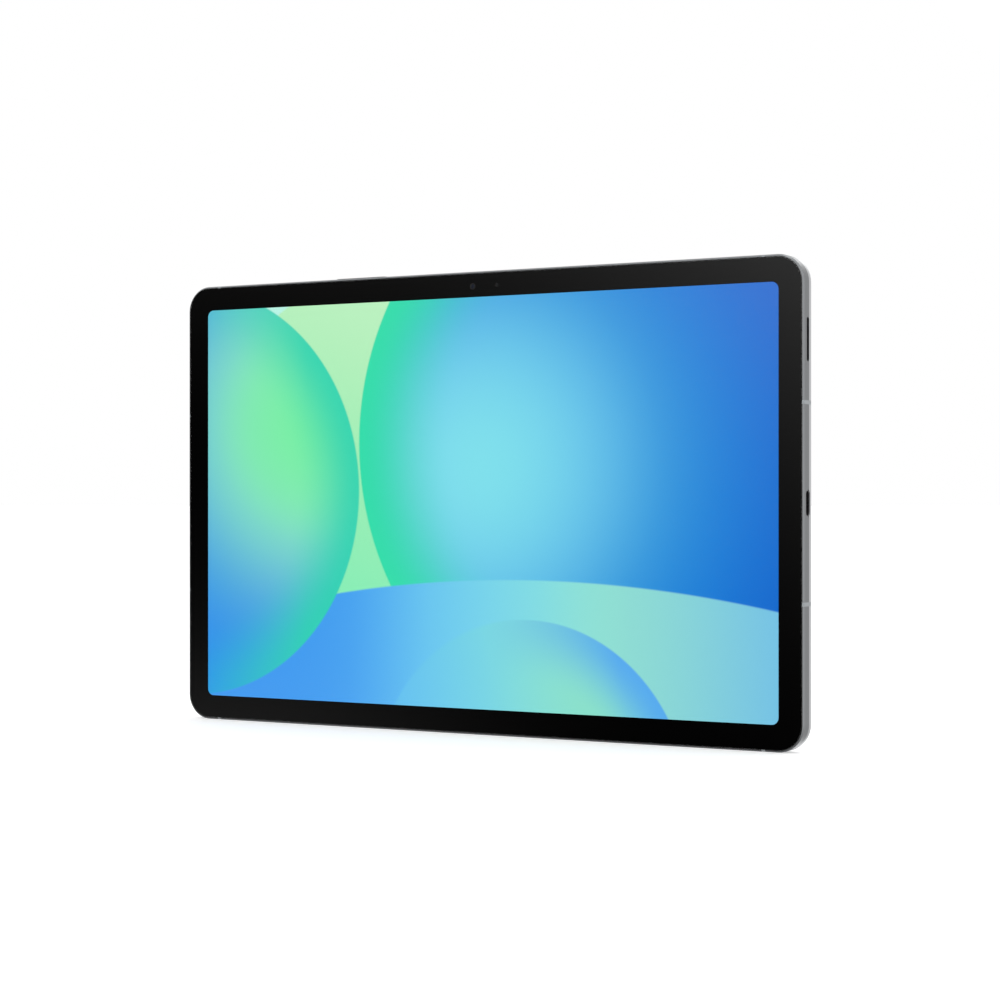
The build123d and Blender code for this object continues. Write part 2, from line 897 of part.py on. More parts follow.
def rear_camera_ring():
    """A raised trim ring with a spigot through the back wall."""
    top = body_depth + ring_proud
    flange = disc(rear_place(), ring_diameter, body_depth, top)
    flange = fillet(flange.faces().sort_by(Axis.Y)[-1].edges(), ring_edge_round)
    ring = flange + disc(rear_place(), ring_spigot_diameter, inside_back, body_depth)
    ring -= disc(rear_place(), rear_window_diameter + 2 * camera_fit, rear_window_seat(), top)
    return ring - disc(rear_place(), rear_sight_diameter, inside_back, rear_window_seat())


def rear_camera_window():
    seat = rear_window_seat()
    return disc(rear_place(), rear_window_diameter, seat, seat + rear_window_thickness)


def rear_barrel_top():
    return rear_window_seat() - camera_fit


def rear_camera():
    """The camera's square body and its barrel inside the ring."""
    body_back = inside_back - inner_clearance
    size = (rear_body_size, rear_body_size)
    body = tile(rear_place(), size, body_back - rear_body_depth, body_back)
    barrel = disc(rear_place(), rear_barrel_diameter, body_back, rear_barrel_top())
    seat_front = rear_barrel_top() - front_lens_thickness
    seat = disc(rear_place(), rear_lens_diameter + 2 * screw_fit, seat_front, rear_barrel_top())
    return body + barrel - seat


def rear_camera_lens():
    front = rear_barrel_top() - front_lens_thickness
    lens = disc(rear_place(), rear_lens_diameter, front, rear_barrel_top())
    return fillet(lens.faces().sort_by(Axis.Y)[-1].edges(), lens_round)


def rear_camera_ribbon():
    x = (rear_camera_x + rear_body_size / 2, rear_plug_x + plug_height / 2)
    depth = (ribbon_front, connector_front)
    return block(x, depth, centred(rear_camera_z, plug_length))


def key_cap(centre, length, proud, flange_gap):
    """A key's cap through the wall and the flange that keeps it in."""
    flange_top = inner_half_height - flange_gap
    flange_low = flange_top - key_flange_thickness
    top = half_height + proud
    cap = rise(edge_slot(centre, length, key_width), flange_low, top)
    cap = fillet(cap.faces().sort_by(Axis.Z)[-1].edges(), key_round)
    grown = (length + 2 * key_flange_rim, key_width + 2 * key_flange_side)
    return cap + rise(edge_slot(centre, *grown), flange_low, flange_top)


def key_nib(x, low, high):
    depth = centred(edge_line, key_nib_width)
    return block(centred(x, key_nib_length), depth, (low, high))


def power_key():
    cap = key_cap(power_key_centre, power_key_length, power_key_proud, power_flange_gap)
    low = switch_top + power_key_travel + key_gap
    return cap + key_nib(power_key_centre, low, inner_half_height - power_flange_gap)


def rocker_level():
    """The height of the volume key's turning axis, at the underside of its flange."""
    return inner_half_height - volume_flange_gap - key_flange_thickness


def volume_key():
    """A rocker on a rounded rib, with a nib over a switch at each end."""
    cap = key_cap(volume_key_centre, volume_key_length, volume_key_proud, volume_flange_gap)
    dip = (volume_nib_offset + key_nib_length / 2) * sin(radians(volume_key_angle))
    low = switch_top + dip + key_gap
    for side in (-1, 1):
        nib_x = volume_key_centre + side * volume_nib_offset
        cap += key_nib(nib_x, low, rocker_level() + key_flange_thickness)
    rib = Plane.XZ * Pos(volume_key_centre, rocker_level()) * Circle(rocker_rib_radius)
    rib = extrude(rib, key_nib_width / 2, both=True)
    return cap + Pos(0, edge_line, 0) * rib


def switch_centres():
    sides = [volume_key_centre + side * volume_nib_offset for side in (-1, 1)]
    return [power_key_centre] + sides


def key_switches():
    """Three small snap switches that face the keys."""
    switches = []
    for x in switch_centres():
        body_top = switch_top - switch_button_height
        body = block(centred(x, switch_length), centred(edge_line, switch_width),
                     (switch_base, body_top))
        button = rise(Pos(x, edge_line) * Circle(switch_width * 0.35), body_top, switch_top)
        switches.append(body + button)
    return switches


def key_ribbon():
    """The strip under the switches and microphones and its tail to the main board."""
    strip_depth = centred(edge_line, key_strip_width)
    strip = block((key_strip_start, key_strip_end), strip_depth, (key_strip_back, switch_base))
    post = centred(volume_key_centre, rocker_post_width + 2 * key_clearance)
    strip -= block(post, strip_depth, (key_strip_back, switch_base))
    beside = (strip_depth[0], strip_depth[0] + post_strip_width)
    strip += block(post, beside, (key_strip_back, switch_base))
    bracket_low = key_strip_back - key_bracket_thickness
    tail_x = centred(key_tail_centre, key_tail_width)
    front = edge_line - key_strip_width / 2 - ribbon_thickness
    run_z = (bracket_low - key_tail_drop, bracket_low - key_tail_drop + ribbon_thickness)
    drop = block(tail_x, (front, front + ribbon_thickness), (run_z[0], switch_base))
    run = block(tail_x, (front, connector_front), run_z)
    tail_z = (key_plug_height - plug_height / 2, run_z[1])
    tail = block(tail_x, (ribbon_front, connector_front), tail_z)
    return strip + drop + run + tail


def key_bracket():
    """A stiff strip behind the switches that stands on the back wall."""
    low = key_strip_back - key_bracket_thickness
    front = edge_line - key_strip_width / 2
    bracket = block((key_strip_start, key_strip_end), (front, inside_back), (low, key_strip_back))
    post_top = rocker_level() - rocker_rib_radius - key_gap
    depth = (edge_line - key_nib_width / 4, edge_line + key_strip_width / 2)
    post_x = centred(volume_key_centre, rocker_post_width)
    return bracket + block(post_x, depth, (key_strip_back, post_top))


def microphones():
    depth = centred(edge_line, microphone_width)
    z = (switch_base, switch_base + microphone_height)
    cases = [block(centred(x, microphone_length), depth, z) for x in microphone_centres]
    ports = [
        rise(Pos(x, edge_line) * Circle(microphone_hole / 2), z[1] - microphone_port_depth, z[1])
        for x in microphone_centres
    ]
    return [case - port for case, port in zip(cases, ports)]


def microphone_gaskets():
    ring = Circle(microphone_gasket_diameter / 2) - Circle(microphone_hole / 2)
    low = switch_base + microphone_height
    return [rise(Pos(x, edge_line) * ring, low, inner_half_height) for x in microphone_centres]


def seal_levels():
    middle = tray_top - tray_cover_depth / 2
    return centred(middle, seal_height)


def card_tray():
    """The tray's cover, with its seal groove and pin hole, and the frame for one card."""
    cover_low = tray_top - tray_cover_depth
    tray = rise(edge_slot(tray_centre, tray_cover_length, tray_cover_width), cover_low, tray_top)
    tray -= rise(seal_outline(), *seal_levels())
    tray -= rise(Pos(rod_x, edge_line) * Circle(pin_hole_diameter / 2), cover_low, tray_top)
    depth = centred(edge_line, tray_frame_thickness)
    x = centred(tray_frame_centre, tray_frame_width)
    frame = block(x, depth, (tray_bottom, cover_low))
    wall = (tray_frame_width - card_width) / 2
    card_z = (tray_bottom + wall, tray_bottom + wall + card_length)
    card_x = centred(tray_frame_centre, card_width)
    frame -= block(card_x, (depth[0], depth[0] + card_thickness), card_z)
    hole_x = (card_x[0] + card_ledge, card_x[1] - card_ledge)
    hole_z = (card_z[0] + card_ledge, card_z[1] - card_ledge)
    return tray + (frame - block(hole_x, depth, hole_z))


def seal_outline():
    grow = 2 * seal_squeeze
    shrink = 2 * (seal_thickness - seal_squeeze)
    outer = edge_slot(tray_centre, tray_cover_length + grow, tray_cover_width + grow)
    return outer - edge_slot(tray_centre, tray_cover_length - shrink, tray_cover_width - shrink)


def tray_seal():
    return rise(seal_outline(), *seal_levels())


def reader_inside():
    """The reader's two inner sides: around the tray on the left and the rod on the right."""
    left = tray_frame_centre - tray_frame_width / 2 - reader_side_gap
    right = rod_x + lever_overhang + reader_side_gap
    return (left, right)


def reader_depths():
    half = tray_frame_thickness / 2 + reader_base_gap
    return centred(edge_line, 2 * half)


def card_reader():
    """The sheet metal and moulded slide that the tray runs in."""
    inner_x = reader_inside()
    x = (inner_x[0] - reader_wall, inner_x[1] + reader_wall)
    inner_depth = reader_depths()
    mouth = inner_half_height - reader_mouth_gap
    case = block(x, (inner_depth[0] - reader_wall, board_front),
                 (reader_floor - reader_wall, mouth))
    return case - block(inner_x, inner_depth, (reader_floor, mouth))


def eject_rod():
    radius = eject_rod_diameter / 2
    rod = rise(Pos(rod_x, edge_line) * Circle(radius), rod_bottom + radius, rod_top)
    return rod + Pos(rod_x, edge_line, rod_bottom + radius) * Sphere(radius)


def eject_lever():
    """A two-armed lever: the rod presses one arm and the other pushes the tray."""
    arm_x = (pivot_x - lever_tray_arm, pivot_x + lever_rod_arm + lever_overhang)
    depth = centred(edge_line, lever_thickness)
    arm = block(arm_x, depth, centred(pivot_z, lever_width))
    hub = disc((pivot_x, pivot_z), 2 * lever_hub_radius, *depth)
    hole = disc((pivot_x, pivot_z), 2 * (pivot_radius + pivot_clearance), *depth)
    return arm + hub - hole


def eject_pivot():
    return disc((pivot_x, pivot_z), 2 * pivot_radius, *reader_depths())


def save(name, pieces):
    """Move a piece, or a group of equal pieces, to the part's frame and write it."""
    group = pieces if isinstance(pieces, list) else [pieces]
    solids = [solid for piece in group for solid in piece.solids()]
    shape = solids[0] if len(solids) == 1 else Compound(solids)
    shape = Pos(0, -overall_depth / 2, half_height) * shape
    export_step(shape, "parts/" + name + ".step")


os.makedirs("parts", exist_ok=True)

# Housing and aerials
save("rear_housing", rear_housing())
save("antenna_breaks", antenna_breaks())
save("antenna_carriers", antenna_carriers())

# Display
save("cover_glass", cover_glass())
save("border_mask", border_mask())
save("display_adhesive", display_adhesive())
save("display_panel", display_panel())
save("backlight_unit", backlight_unit())
save("display_plate", display_plate())
save("display_ribbon", display_ribbon())
save("plate_screws", plate_screws())

# Battery
right_cell = battery_cell()
save("battery_cell_right", right_cell)
save("battery_cell_left", across(right_cell))
save("battery_adhesive", battery_adhesive())
save("battery_board", battery_board())
save("battery_ribbon", battery_ribbon())

# Main board
save("main_board", main_board())
save("processor", chip(processor_place, processor_size))
save("storage_chip", chip(storage_place, storage_size))
save("power_chip", chip(power_place, power_chip_size))
save("radio_chip", chip(radio_place, radio_chip_size))
save("shield_cans", shield_cans())
save("heat_spreader", heat_spreader())
save("board_connectors", board_connectors())
save("board_screws", board_screws())

# Socket
save("usb_board", usb_board())
save("usb_shell", usb_shell())
save("usb_tongue", usb_tongue())
save("usb_gasket", usb_gasket())
save("usb_ribbon", usb_ribbon())

# Speakers
save("speaker_right", speaker())
save("speaker_left", across(speaker()))
save("speaker_gaskets", [speaker_gasket(), across(speaker_gasket())])
save("speaker_meshes", [speaker_mesh(), across(speaker_mesh())])

# Cameras and light sensor
save("front_camera", front_camera())
save("front_camera_lens", front_camera_lens())
save("front_camera_ribbon", front_camera_ribbon())
save("light_sensor", light_sensor())
save("rear_camera", rear_camera())
save("rear_camera_lens", rear_camera_lens())
save("rear_camera_ring", rear_camera_ring())
save("rear_camera_window", rear_camera_window())
save("rear_camera_ribbon", rear_camera_ribbon())

# Keys and microphones
save("power_key", power_key())
save("volume_key", volume_key())
save("key_switches", key_switches())
save("key_ribbon", key_ribbon())
save("key_bracket", key_bracket())
save("microphones", microphones())
save("microphone_gaskets", microphone_gaskets())

# Card tray
save("card_tray", card_tray())
save("tray_seal", tray_seal())
save("card_reader", card_reader())
save("eject_rod", eject_rod())
save("eject_lever", eject_lever())
save("eject_pivot", eject_pivot())
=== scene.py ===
from math import cos, pi, radians, sin
import bmesh
import bpy
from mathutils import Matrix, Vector


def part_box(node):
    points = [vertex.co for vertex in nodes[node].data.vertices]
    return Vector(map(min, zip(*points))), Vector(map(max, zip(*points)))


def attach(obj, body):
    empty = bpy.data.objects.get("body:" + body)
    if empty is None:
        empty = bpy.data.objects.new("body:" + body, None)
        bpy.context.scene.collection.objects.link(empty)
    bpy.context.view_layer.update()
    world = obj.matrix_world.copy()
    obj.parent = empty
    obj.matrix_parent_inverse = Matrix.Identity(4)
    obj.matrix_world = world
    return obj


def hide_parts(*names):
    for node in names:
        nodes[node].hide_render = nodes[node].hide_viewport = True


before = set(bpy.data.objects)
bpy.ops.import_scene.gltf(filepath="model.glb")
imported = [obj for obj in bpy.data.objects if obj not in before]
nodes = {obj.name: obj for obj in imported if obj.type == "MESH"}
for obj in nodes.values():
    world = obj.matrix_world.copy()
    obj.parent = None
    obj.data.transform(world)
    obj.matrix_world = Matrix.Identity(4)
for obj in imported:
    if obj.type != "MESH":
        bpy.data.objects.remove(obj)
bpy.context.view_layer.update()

# A slim tablet computer. The CAD nodes give the pieces their shapes and places, and this
# script adds the fine repeated pieces, the lenses' domes and every finish.
mm = 0.001
print("frame loaded:", len(nodes), "nodes")


# node helpers
def feed(tree, value, socket):
    if isinstance(value, bpy.types.NodeSocket):
        tree.links.new(value, socket)
    else:
        socket.default_value = value


def addNode(tree, kind, settings=None, **inputs):
    # an input is named as in the interface, with _ for a space
    node = tree.nodes.new(kind)
    for key, value in (settings or {}).items():
        setattr(node, key, value)
    for key, value in inputs.items():
        feed(tree, value, node.inputs[key.replace("_", " ")])
    return node


def maths(tree, operation, *values):
    node = tree.nodes.new("ShaderNodeMath")
    node.operation = operation
    for socket, value in zip(node.inputs, values):
        feed(tree, value, socket)
    return node.outputs[0]


def times(tree, first, second):
    return maths(tree, "MULTIPLY", first, second)


def vectorMaths(tree, operation, *values):
    node = tree.nodes.new("ShaderNodeVectorMath")
    node.operation = operation
    for socket, value in zip(node.inputs, values):
        feed(tree, value, socket)
    return node.outputs["Value" if operation in ("DISTANCE", "DOT_PRODUCT", "LENGTH") else "Vector"]


def spread(tree, value, low, high, outLow=0.0, outHigh=1.0, smooth=False):
    node = tree.nodes.new("ShaderNodeMapRange")
    node.interpolation_type = "SMOOTHSTEP" if smooth else "LINEAR"
    for socket, number in zip(node.inputs, (value, low, high, outLow, outHigh)):
        feed(tree, number, socket)
    return node.outputs[0]


def fromNoise(tree, value, low=0.0, high=1.0):
    # most of a noise lies between 0.3 and 0.7
    return spread(tree, value, 0.3, 0.7, low, high)


def joinAxes(tree, **parts):
    return addNode(tree, "ShaderNodeCombineXYZ", **parts).outputs[0]


def splitAxes(tree, vector):
    return addNode(tree, "ShaderNodeSeparateXYZ", Vector=vector).outputs


def firstChannel(tree, colour):
    return addNode(tree, "ShaderNodeSeparateColor", Color=colour).outputs[0]


def surfaceNormal(tree):
    return addNode(tree, "ShaderNodeNewGeometry").outputs["Normal"]


def mixColour(tree, share, first, second):
    node = tree.nodes.new("ShaderNodeMix")
    node.data_type = "RGBA"
    for index, value in ((0, share), (6, first), (7, second)):
        feed(tree, paint(value), node.inputs[index])
    return node.outputs[2]


def paint(value):
    return (*value, 1.0) if isinstance(value, tuple) and len(value) == 3 else value


def scaled(colour, share):
    return tuple(part * share for part in colour)


def shade(red, green, blue):
    # a display colour from 0 to 255 as linear light
    def linear(part):
        part /= 255
        return part / 12.92 if part <= 0.04045 else ((part + 0.055) / 1.055) ** 2.4
    return (linear(red), linear(green), linear(blue))


def ramp(tree, value, stops, interpolation="LINEAR"):
    node = tree.nodes.new("ShaderNodeValToRGB")
    node.color_ramp.interpolation = interpolation
    elements = node.color_ramp.elements
    while len(elements) < len(stops):
        elements.new(0.5)
    for element, (place, colour) in zip(elements, stops):
        element.position = place
        element.color = paint(colour)
    feed(tree, value, node.inputs[0])
    return node.outputs[0]


def objectPlace(tree):
    return addNode(tree, "ShaderNodeTexCoord").outputs["Object"]


def placed(tree, centre, scale):
    # Object coordinates measured from a centre
    shifted = vectorMaths(tree, "SUBTRACT", objectPlace(tree), tuple(centre))
    return addNode(tree, "ShaderNodeMapping", Vector=shifted, Scale=scale).outputs[0]


def noise(tree, place, scale, detail=2.0, roughness=0.5, distortion=0.0):
    node = addNode(tree, "ShaderNodeTexNoise", Vector=place, Scale=scale, Detail=detail,
                   Roughness=roughness, Distortion=distortion)
    return node.outputs[0]


def cells(tree, place, scale, metric="EUCLIDEAN", feature="F1", randomness=1.0):
    settings = {"distance": metric, "feature": feature}
    return addNode(tree, "ShaderNodeTexVoronoi", settings, Vector=place, Scale=scale,
                   Randomness=randomness).outputs


# shared effects
def startGroup(title, inputs, outputs):
    group = bpy.data.node_groups.new(title, "ShaderNodeTree")
    for name in inputs:
        group.interface.new_socket(name, in_out="INPUT", socket_type="NodeSocketFloat")
    for name in outputs:
        group.interface.new_socket(name, in_out="OUTPUT", socket_type="NodeSocketFloat")
    given = group.nodes.new("NodeGroupInput").outputs
    result = group.nodes.new("NodeGroupOutput").inputs
    return group, given, result


def grainGroup():
    # fine grain over slow blotches: blasted metal, moulded plastic, ink
    group, given, result = startGroup("fine grain", ("Scale", "Blotch"), ("Tone", "Height"))
    place = objectPlace(group)
    fine = noise(group, place, given["Scale"], 3.0, 0.65)
    slow = noise(group, place, given["Blotch"], 2.0)
    tone = maths(group, "ADD", times(group, fine, 0.6), times(group, slow, 0.4))
    feed(group, tone, result["Tone"])
    feed(group, fine, result["Height"])
    return group


def wearGroup():
    # handling rubs the outer edges bright, in patches
    group, given, result = startGroup("edge wear", ("Width", "Patch", "Amount"), ("Mask",))
    bent = addNode(group, "ShaderNodeBevel", {"samples": 4}, Radius=given["Width"]).outputs[0]
    edge = vectorMaths(group, "DOT_PRODUCT", bent, surfaceNormal(group))
    edge = spread(group, edge, 0.99, 0.8)
    patch = spread(group, noise(group, objectPlace(group), given["Patch"], 4.0), 0.45, 0.65)
    worn = times(group, times(group, edge, patch), given["Amount"])
    feed(group, worn, result["Mask"])
    return group


def dustGroup():
    # a few light specks everywhere, and a thin film on what faces up
    group, given, result = startGroup("dust", ("Scale", "Amount"), ("Mask",))
    place = objectPlace(group)
    spots = cells(group, place, given["Scale"])
    speck = spread(group, spots["Distance"], 0.16, 0.08)
    chosen = maths(group, "GREATER_THAN", firstChannel(group, spots["Color"]), 0.93)
    speck = times(group, speck, chosen)
    upward = spread(group, splitAxes(group, surfaceNormal(group))[2], 0.5, 1.0, 0.0, 0.35)
    film = times(group, upward, noise(group, place, 130.0, 3.0))
    mask = times(group, maths(group, "MAXIMUM", speck, film), given["Amount"])
    feed(group, mask, result["Mask"])
    return group


def smudgeGroup():
    # broad finger smears
    group, given, result = startGroup("smudge", ("Scale", "Amount"), ("Mask",))
    smear = noise(group, objectPlace(group), given["Scale"], 4.0, 0.55, 1.4)
    mask = times(group, spread(group, smear, 0.45, 0.75, smooth=True), given["Amount"])
    feed(group, mask, result["Mask"])
    return group


def lineGroup():
    # rolling and brushing lines, long along the direction with the small stretch
    group, given, result = startGroup("brushed lines", ("Scale", "Along", "Upward"),
                                      ("Tone", "Height"))
    stretch = joinAxes(group, X=given["Along"], Y=1.0, Z=given["Upward"])
    place = vectorMaths(group, "MULTIPLY", objectPlace(group), stretch)
    lines = noise(group, place, given["Scale"], 4.0, 0.7)
    feed(group, fromNoise(group, lines), result["Tone"])
    feed(group, lines, result["Height"])
    return group


def trackGroup():
    # copper tracks with square turns, and plated holes between them
    group, given, result = startGroup("tracks", ("Scale", "Width", "Holes"), ("Track", "Hole"))
    place = objectPlace(group)
    first, second = (cells(group, place, given["Scale"], "CHEBYCHEV", feature, 0.85)["Distance"]
                     for feature in ("F1", "F2"))
    gap = maths(group, "SUBTRACT", second, first)
    feed(group, maths(group, "LESS_THAN", gap, given["Width"]), result["Track"])
    spots = cells(group, place, given["Holes"])
    chosen = maths(group, "GREATER_THAN", firstChannel(group, spots["Color"]), 0.6)
    hole = maths(group, "LESS_THAN", spots["Distance"], 0.22)
    feed(group, times(group, hole, chosen), result["Hole"])
    return group


grain, wear, dust = grainGroup(), wearGroup(), dustGroup()
smudge, lines, tracks = smudgeGroup(), lineGroup(), trackGroup()


def effect(tree, group, **inputs):
    node = tree.nodes.new("ShaderNodeGroup")
    node.node_tree = group
    for name, value in inputs.items():
        feed(tree, value, node.inputs[name])
    return node.outputs


print("shared effects built")


# finishes
def newFinish(name, **inputs):
    # a material with one Principled shader; plain numbers go straight on its sockets
    material = bpy.data.materials.new(name)
    material.use_nodes = True
    tree = material.node_tree
    shader = next(n for n in tree.nodes if n.type == "BSDF_PRINCIPLED")
    for key, value in inputs.items():
        feed(tree, paint(value), shader.inputs[key.replace("_", " ")])
    return material, tree, shader.inputs


def setRoughness(tree, sockets, tone, low, high):
    feed(tree, fromNoise(tree, tone, low, high), sockets["Roughness"])


def bump(tree, sockets, height, depth):
    node = addNode(tree, "ShaderNodeBump", Height=height, Distance=depth, Strength=1.0)
    feed(tree, node.outputs[0], sockets["Normal"])


dustOnMetal = (0.55, 0.54, 0.52)
dustOnPlastic = (0.4, 0.39, 0.37)


def metalFinish(name, look):
    # blasted and anodised aluminium, bright on the cut chamfer in front of look["cut"], and with a
    # painted sheen (a lighter colour) on the rolled edge behind look["rear"], both along Y
    material, tree, sockets = newFinish(name, Metallic=1.0)
    skin = effect(tree, grain, Scale=look["grainScale"], Blotch=look["blotch"])
    colour = look["colour"]
    colour = mixColour(tree, skin["Tone"], scaled(colour, 0.9), scaled(colour, 1.1))
    rough = fromNoise(tree, skin["Tone"], look["roughness"] - 0.04, look["roughness"] + 0.04)
    if "cut" in look:
        depth = splitAxes(tree, objectPlace(tree))[1]
        cut = maths(tree, "LESS_THAN", depth, look["cut"])
        # painted sheen: the rolled back edge is given a lighter colour
        rear = spread(tree, depth, look["rear"], look["rear"] + 0.12 * mm)
        rear = times(tree, rear, maths(tree, "LESS_THAN", depth, look["back"]))
        colour = mixColour(tree, cut, colour, look["cutColour"])
        colour = mixColour(tree, rear, colour, look["rearSheenColour"])
        rough = spread(tree, cut, 0.0, 1.0, rough, look["cutRoughness"])
    worn = effect(tree, wear, Width=0.2 * mm, Patch=80.0, Amount=look["wear"])["Mask"]
    colour = mixColour(tree, worn, colour, look["wornColour"])
    film = effect(tree, dust, Scale=600.0, Amount=look["dust"])["Mask"]
    feed(tree, mixColour(tree, film, colour, dustOnMetal), sockets["Base Color"])
    feed(tree, maths(tree, "ADD", rough, times(tree, film, 0.3)), sockets["Roughness"])
    bump(tree, sockets, skin["Height"], look["grainDepth"])
    return material


def plasticFinish(name, look):
    material, tree, sockets = newFinish(name, Specular_IOR_Level=look.get("shine", 0.4))
    skin = effect(tree, grain, Scale=look["grainScale"], Blotch=150.0)
    film = effect(tree, dust, Scale=500.0, Amount=look.get("dust", 0.2))["Mask"]
    colour = look["colour"]
    colour = mixColour(tree, skin["Tone"], scaled(colour, 0.78), scaled(colour, 1.2))
    feed(tree, mixColour(tree, film, colour, dustOnPlastic), sockets["Base Color"])
    rough = look["roughness"]
    setRoughness(tree, sockets, skin["Tone"], rough - 0.06, rough + 0.08)
    bump(tree, sockets, skin["Height"], look["grainDepth"])
    return material


def brushedFinish(name, look):
    material, tree, sockets = newFinish(name, Metallic=1.0)
    stroke = effect(tree, lines, Scale=look["scale"], Along=look["along"], Upward=look["upward"])
    skin = effect(tree, grain, Scale=look["scale"] * 3, Blotch=90.0)
    colour = mixColour(tree, stroke["Tone"], scaled(look["colour"], 0.75), look["colour"])
    tint = fromNoise(tree, skin["Tone"], 0.0, 0.25)
    colour = mixColour(tree, tint, colour, look["stain"])
    feed(tree, colour, sockets["Base Color"])
    rough = spread(tree, stroke["Tone"], 0.0, 1.0, look["roughness"] + 0.1, look["roughness"])
    feed(tree, rough, sockets["Roughness"])
    bump(tree, sockets, stroke["Height"], look["depth"])
    return material


def boardFinish(name, look):
    # solder mask over tracks, with plated holes
    material, tree, sockets = newFinish(name, Coat_Weight=0.3, Coat_Roughness=0.2)
    copper = effect(tree, tracks, Scale=look["trackScale"], Width=look["trackWidth"],
                    Holes=look["holeScale"])
    skin = effect(tree, grain, Scale=5000.0, Blotch=110.0)
    ground = mixColour(tree, skin["Tone"], look["dark"], look["light"])
    colour = mixColour(tree, copper["Track"], ground, look["track"])
    colour = mixColour(tree, copper["Hole"], colour, look["hole"])
    feed(tree, colour, sockets["Base Color"])
    feed(tree, copper["Hole"], sockets["Metallic"])
    setRoughness(tree, sockets, skin["Tone"], 0.35, 0.5)
    bump(tree, sockets, maths(tree, "ADD", copper["Track"], copper["Hole"]), look["depth"])
    return material


def glassFinish(name, look):
    material, tree, sockets = newFinish(name, Base_Color=look["tint"], Transmission_Weight=1.0,
                                        IOR=look["ior"], Metallic=0.0)
    smear = effect(tree, smudge, Scale=look["smudgeScale"], Amount=look["smudge"])["Mask"]
    speck = effect(tree, dust, Scale=260.0, Amount=look["dust"])["Mask"]
    rough = maths(tree, "ADD", times(tree, smear, 0.05), times(tree, speck, 0.2))
    feed(tree, rough, sockets["Roughness"])
    return material


chamferDepth = 0.5 * mm
rollDepth = 2.3 * mm
housingFront, housingBack = (corner.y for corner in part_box("rear_housing"))
anodised = {"grainScale": 5200.0, "grainDepth": 0.006 * mm, "blotch": 45.0, "wear": 0.5,
            "wornColour": (0.5, 0.5, 0.5), "dust": 0.12}
keyFinish = dict(anodised, colour=(0.17, 0.175, 0.182), roughness=0.3)
ringFinish = dict(anodised, colour=(0.15, 0.155, 0.165), roughness=0.24)
housingFinish = dict(anodised, colour=(0.18, 0.186, 0.193), roughness=0.36, wear=0.35)
housingFinish.update({
    "cut": housingFront + chamferDepth * 1.02,  # just past the chamfer
    "rear": housingBack - rollDepth,
    "back": housingBack - 0.02 * mm,  # just short of the flat back
    "cutColour": (0.3, 0.31, 0.32),
    # painted sheen: a lighter colour for the rolled back edge
    "rearSheenColour": (0.5, 0.51, 0.52),
    "cutRoughness": 0.2,
})

plasticFinishes = {
    "break_plastic": {"colour": (0.26, 0.278, 0.292), "roughness": 0.42, "grainScale": 5000.0,
                      "grainDepth": 0.003 * mm, "dust": 0.1},
    "carrier_plastic": {"colour": (0.07, 0.07, 0.075), "roughness": 0.55, "grainScale": 1800.0,
                        "grainDepth": 0.02 * mm},
    "mask_ink": {"colour": (0.0022, 0.0022, 0.0026), "roughness": 0.12, "grainScale": 900.0,
                 "grainDepth": 0.0002 * mm, "dust": 0.0, "shine": 0.5},
    "tape_black": {"colour": (0.018, 0.018, 0.018), "roughness": 0.7, "grainScale": 2500.0,
                   "grainDepth": 0.02 * mm},
    "plug_plastic": {"colour": (0.05, 0.048, 0.045), "roughness": 0.45, "grainScale": 3000.0,
                     "grainDepth": 0.006 * mm},
    "black_plastic": {"colour": (0.018, 0.018, 0.02), "roughness": 0.42, "grainScale": 3200.0,
                      "grainDepth": 0.006 * mm},
    "rubber_black": {"colour": (0.017, 0.017, 0.018), "roughness": 0.78, "grainScale": 2600.0,
                     "grainDepth": 0.015 * mm, "shine": 0.2},
    "speaker_plastic": {"colour": (0.028, 0.028, 0.03), "roughness": 0.5, "grainScale": 1500.0,
                        "grainDepth": 0.02 * mm},
    "graphite": {"colour": (0.05, 0.05, 0.055), "roughness": 0.5, "grainScale": 1200.0,
                 "grainDepth": 0.01 * mm, "shine": 0.7},
}
brushedFinishes = {
    "plate_metal": {"colour": (0.5, 0.5, 0.49), "stain": (0.36, 0.34, 0.31), "roughness": 0.3,
                    "scale": 700.0, "along": 0.02, "upward": 1.0, "depth": 0.004 * mm},
    "screw_metal": {"colour": (0.42, 0.42, 0.42), "stain": (0.25, 0.24, 0.23), "roughness": 0.28,
                    "scale": 2500.0, "along": 1.0, "upward": 1.0, "depth": 0.006 * mm},
    "can_metal": {"colour": (0.56, 0.56, 0.54), "stain": (0.4, 0.38, 0.35), "roughness": 0.26,
                  "scale": 1100.0, "along": 1.0, "upward": 0.03, "depth": 0.005 * mm},
    "usb_steel": {"colour": (0.3, 0.3, 0.31), "stain": (0.16, 0.16, 0.17), "roughness": 0.25,
                  "scale": 1400.0, "along": 0.05, "upward": 1.0, "depth": 0.003 * mm},
    "mesh_grey": {"colour": (0.16, 0.163, 0.166), "stain": (0.1, 0.1, 0.1), "roughness": 0.38,
                  "scale": 2400.0, "along": 1.0, "upward": 1.0, "depth": 0.004 * mm},
}
boardFinishes = {
    "board_green": {"dark": (0.006, 0.03, 0.018), "light": (0.012, 0.055, 0.032),
                    "track": (0.03, 0.11, 0.06), "hole": (0.55, 0.42, 0.2), "trackScale": 330.0,
                    "trackWidth": 0.13, "holeScale": 480.0, "depth": 0.02 * mm},
    "ribbon_film": {"dark": (0.2, 0.075, 0.012), "light": (0.3, 0.12, 0.02),
                    "track": (0.42, 0.2, 0.06), "hole": (0.6, 0.45, 0.2), "trackScale": 700.0,
                    "trackWidth": 0.22, "holeScale": 300.0, "depth": 0.008 * mm},
}
smokedGuide = {"colour": (0.003, 0.003, 0.004), "roughness": 0.3, "grainScale": 4000.0,
               "grainDepth": 0.001 * mm, "dust": 0.0, "shine": 0.1}
coverGlass = {"tint": (0.985, 0.99, 0.99), "ior": 1.55, "smudge": 0.15, "smudgeScale": 24.0,
              "dust": 0.03}
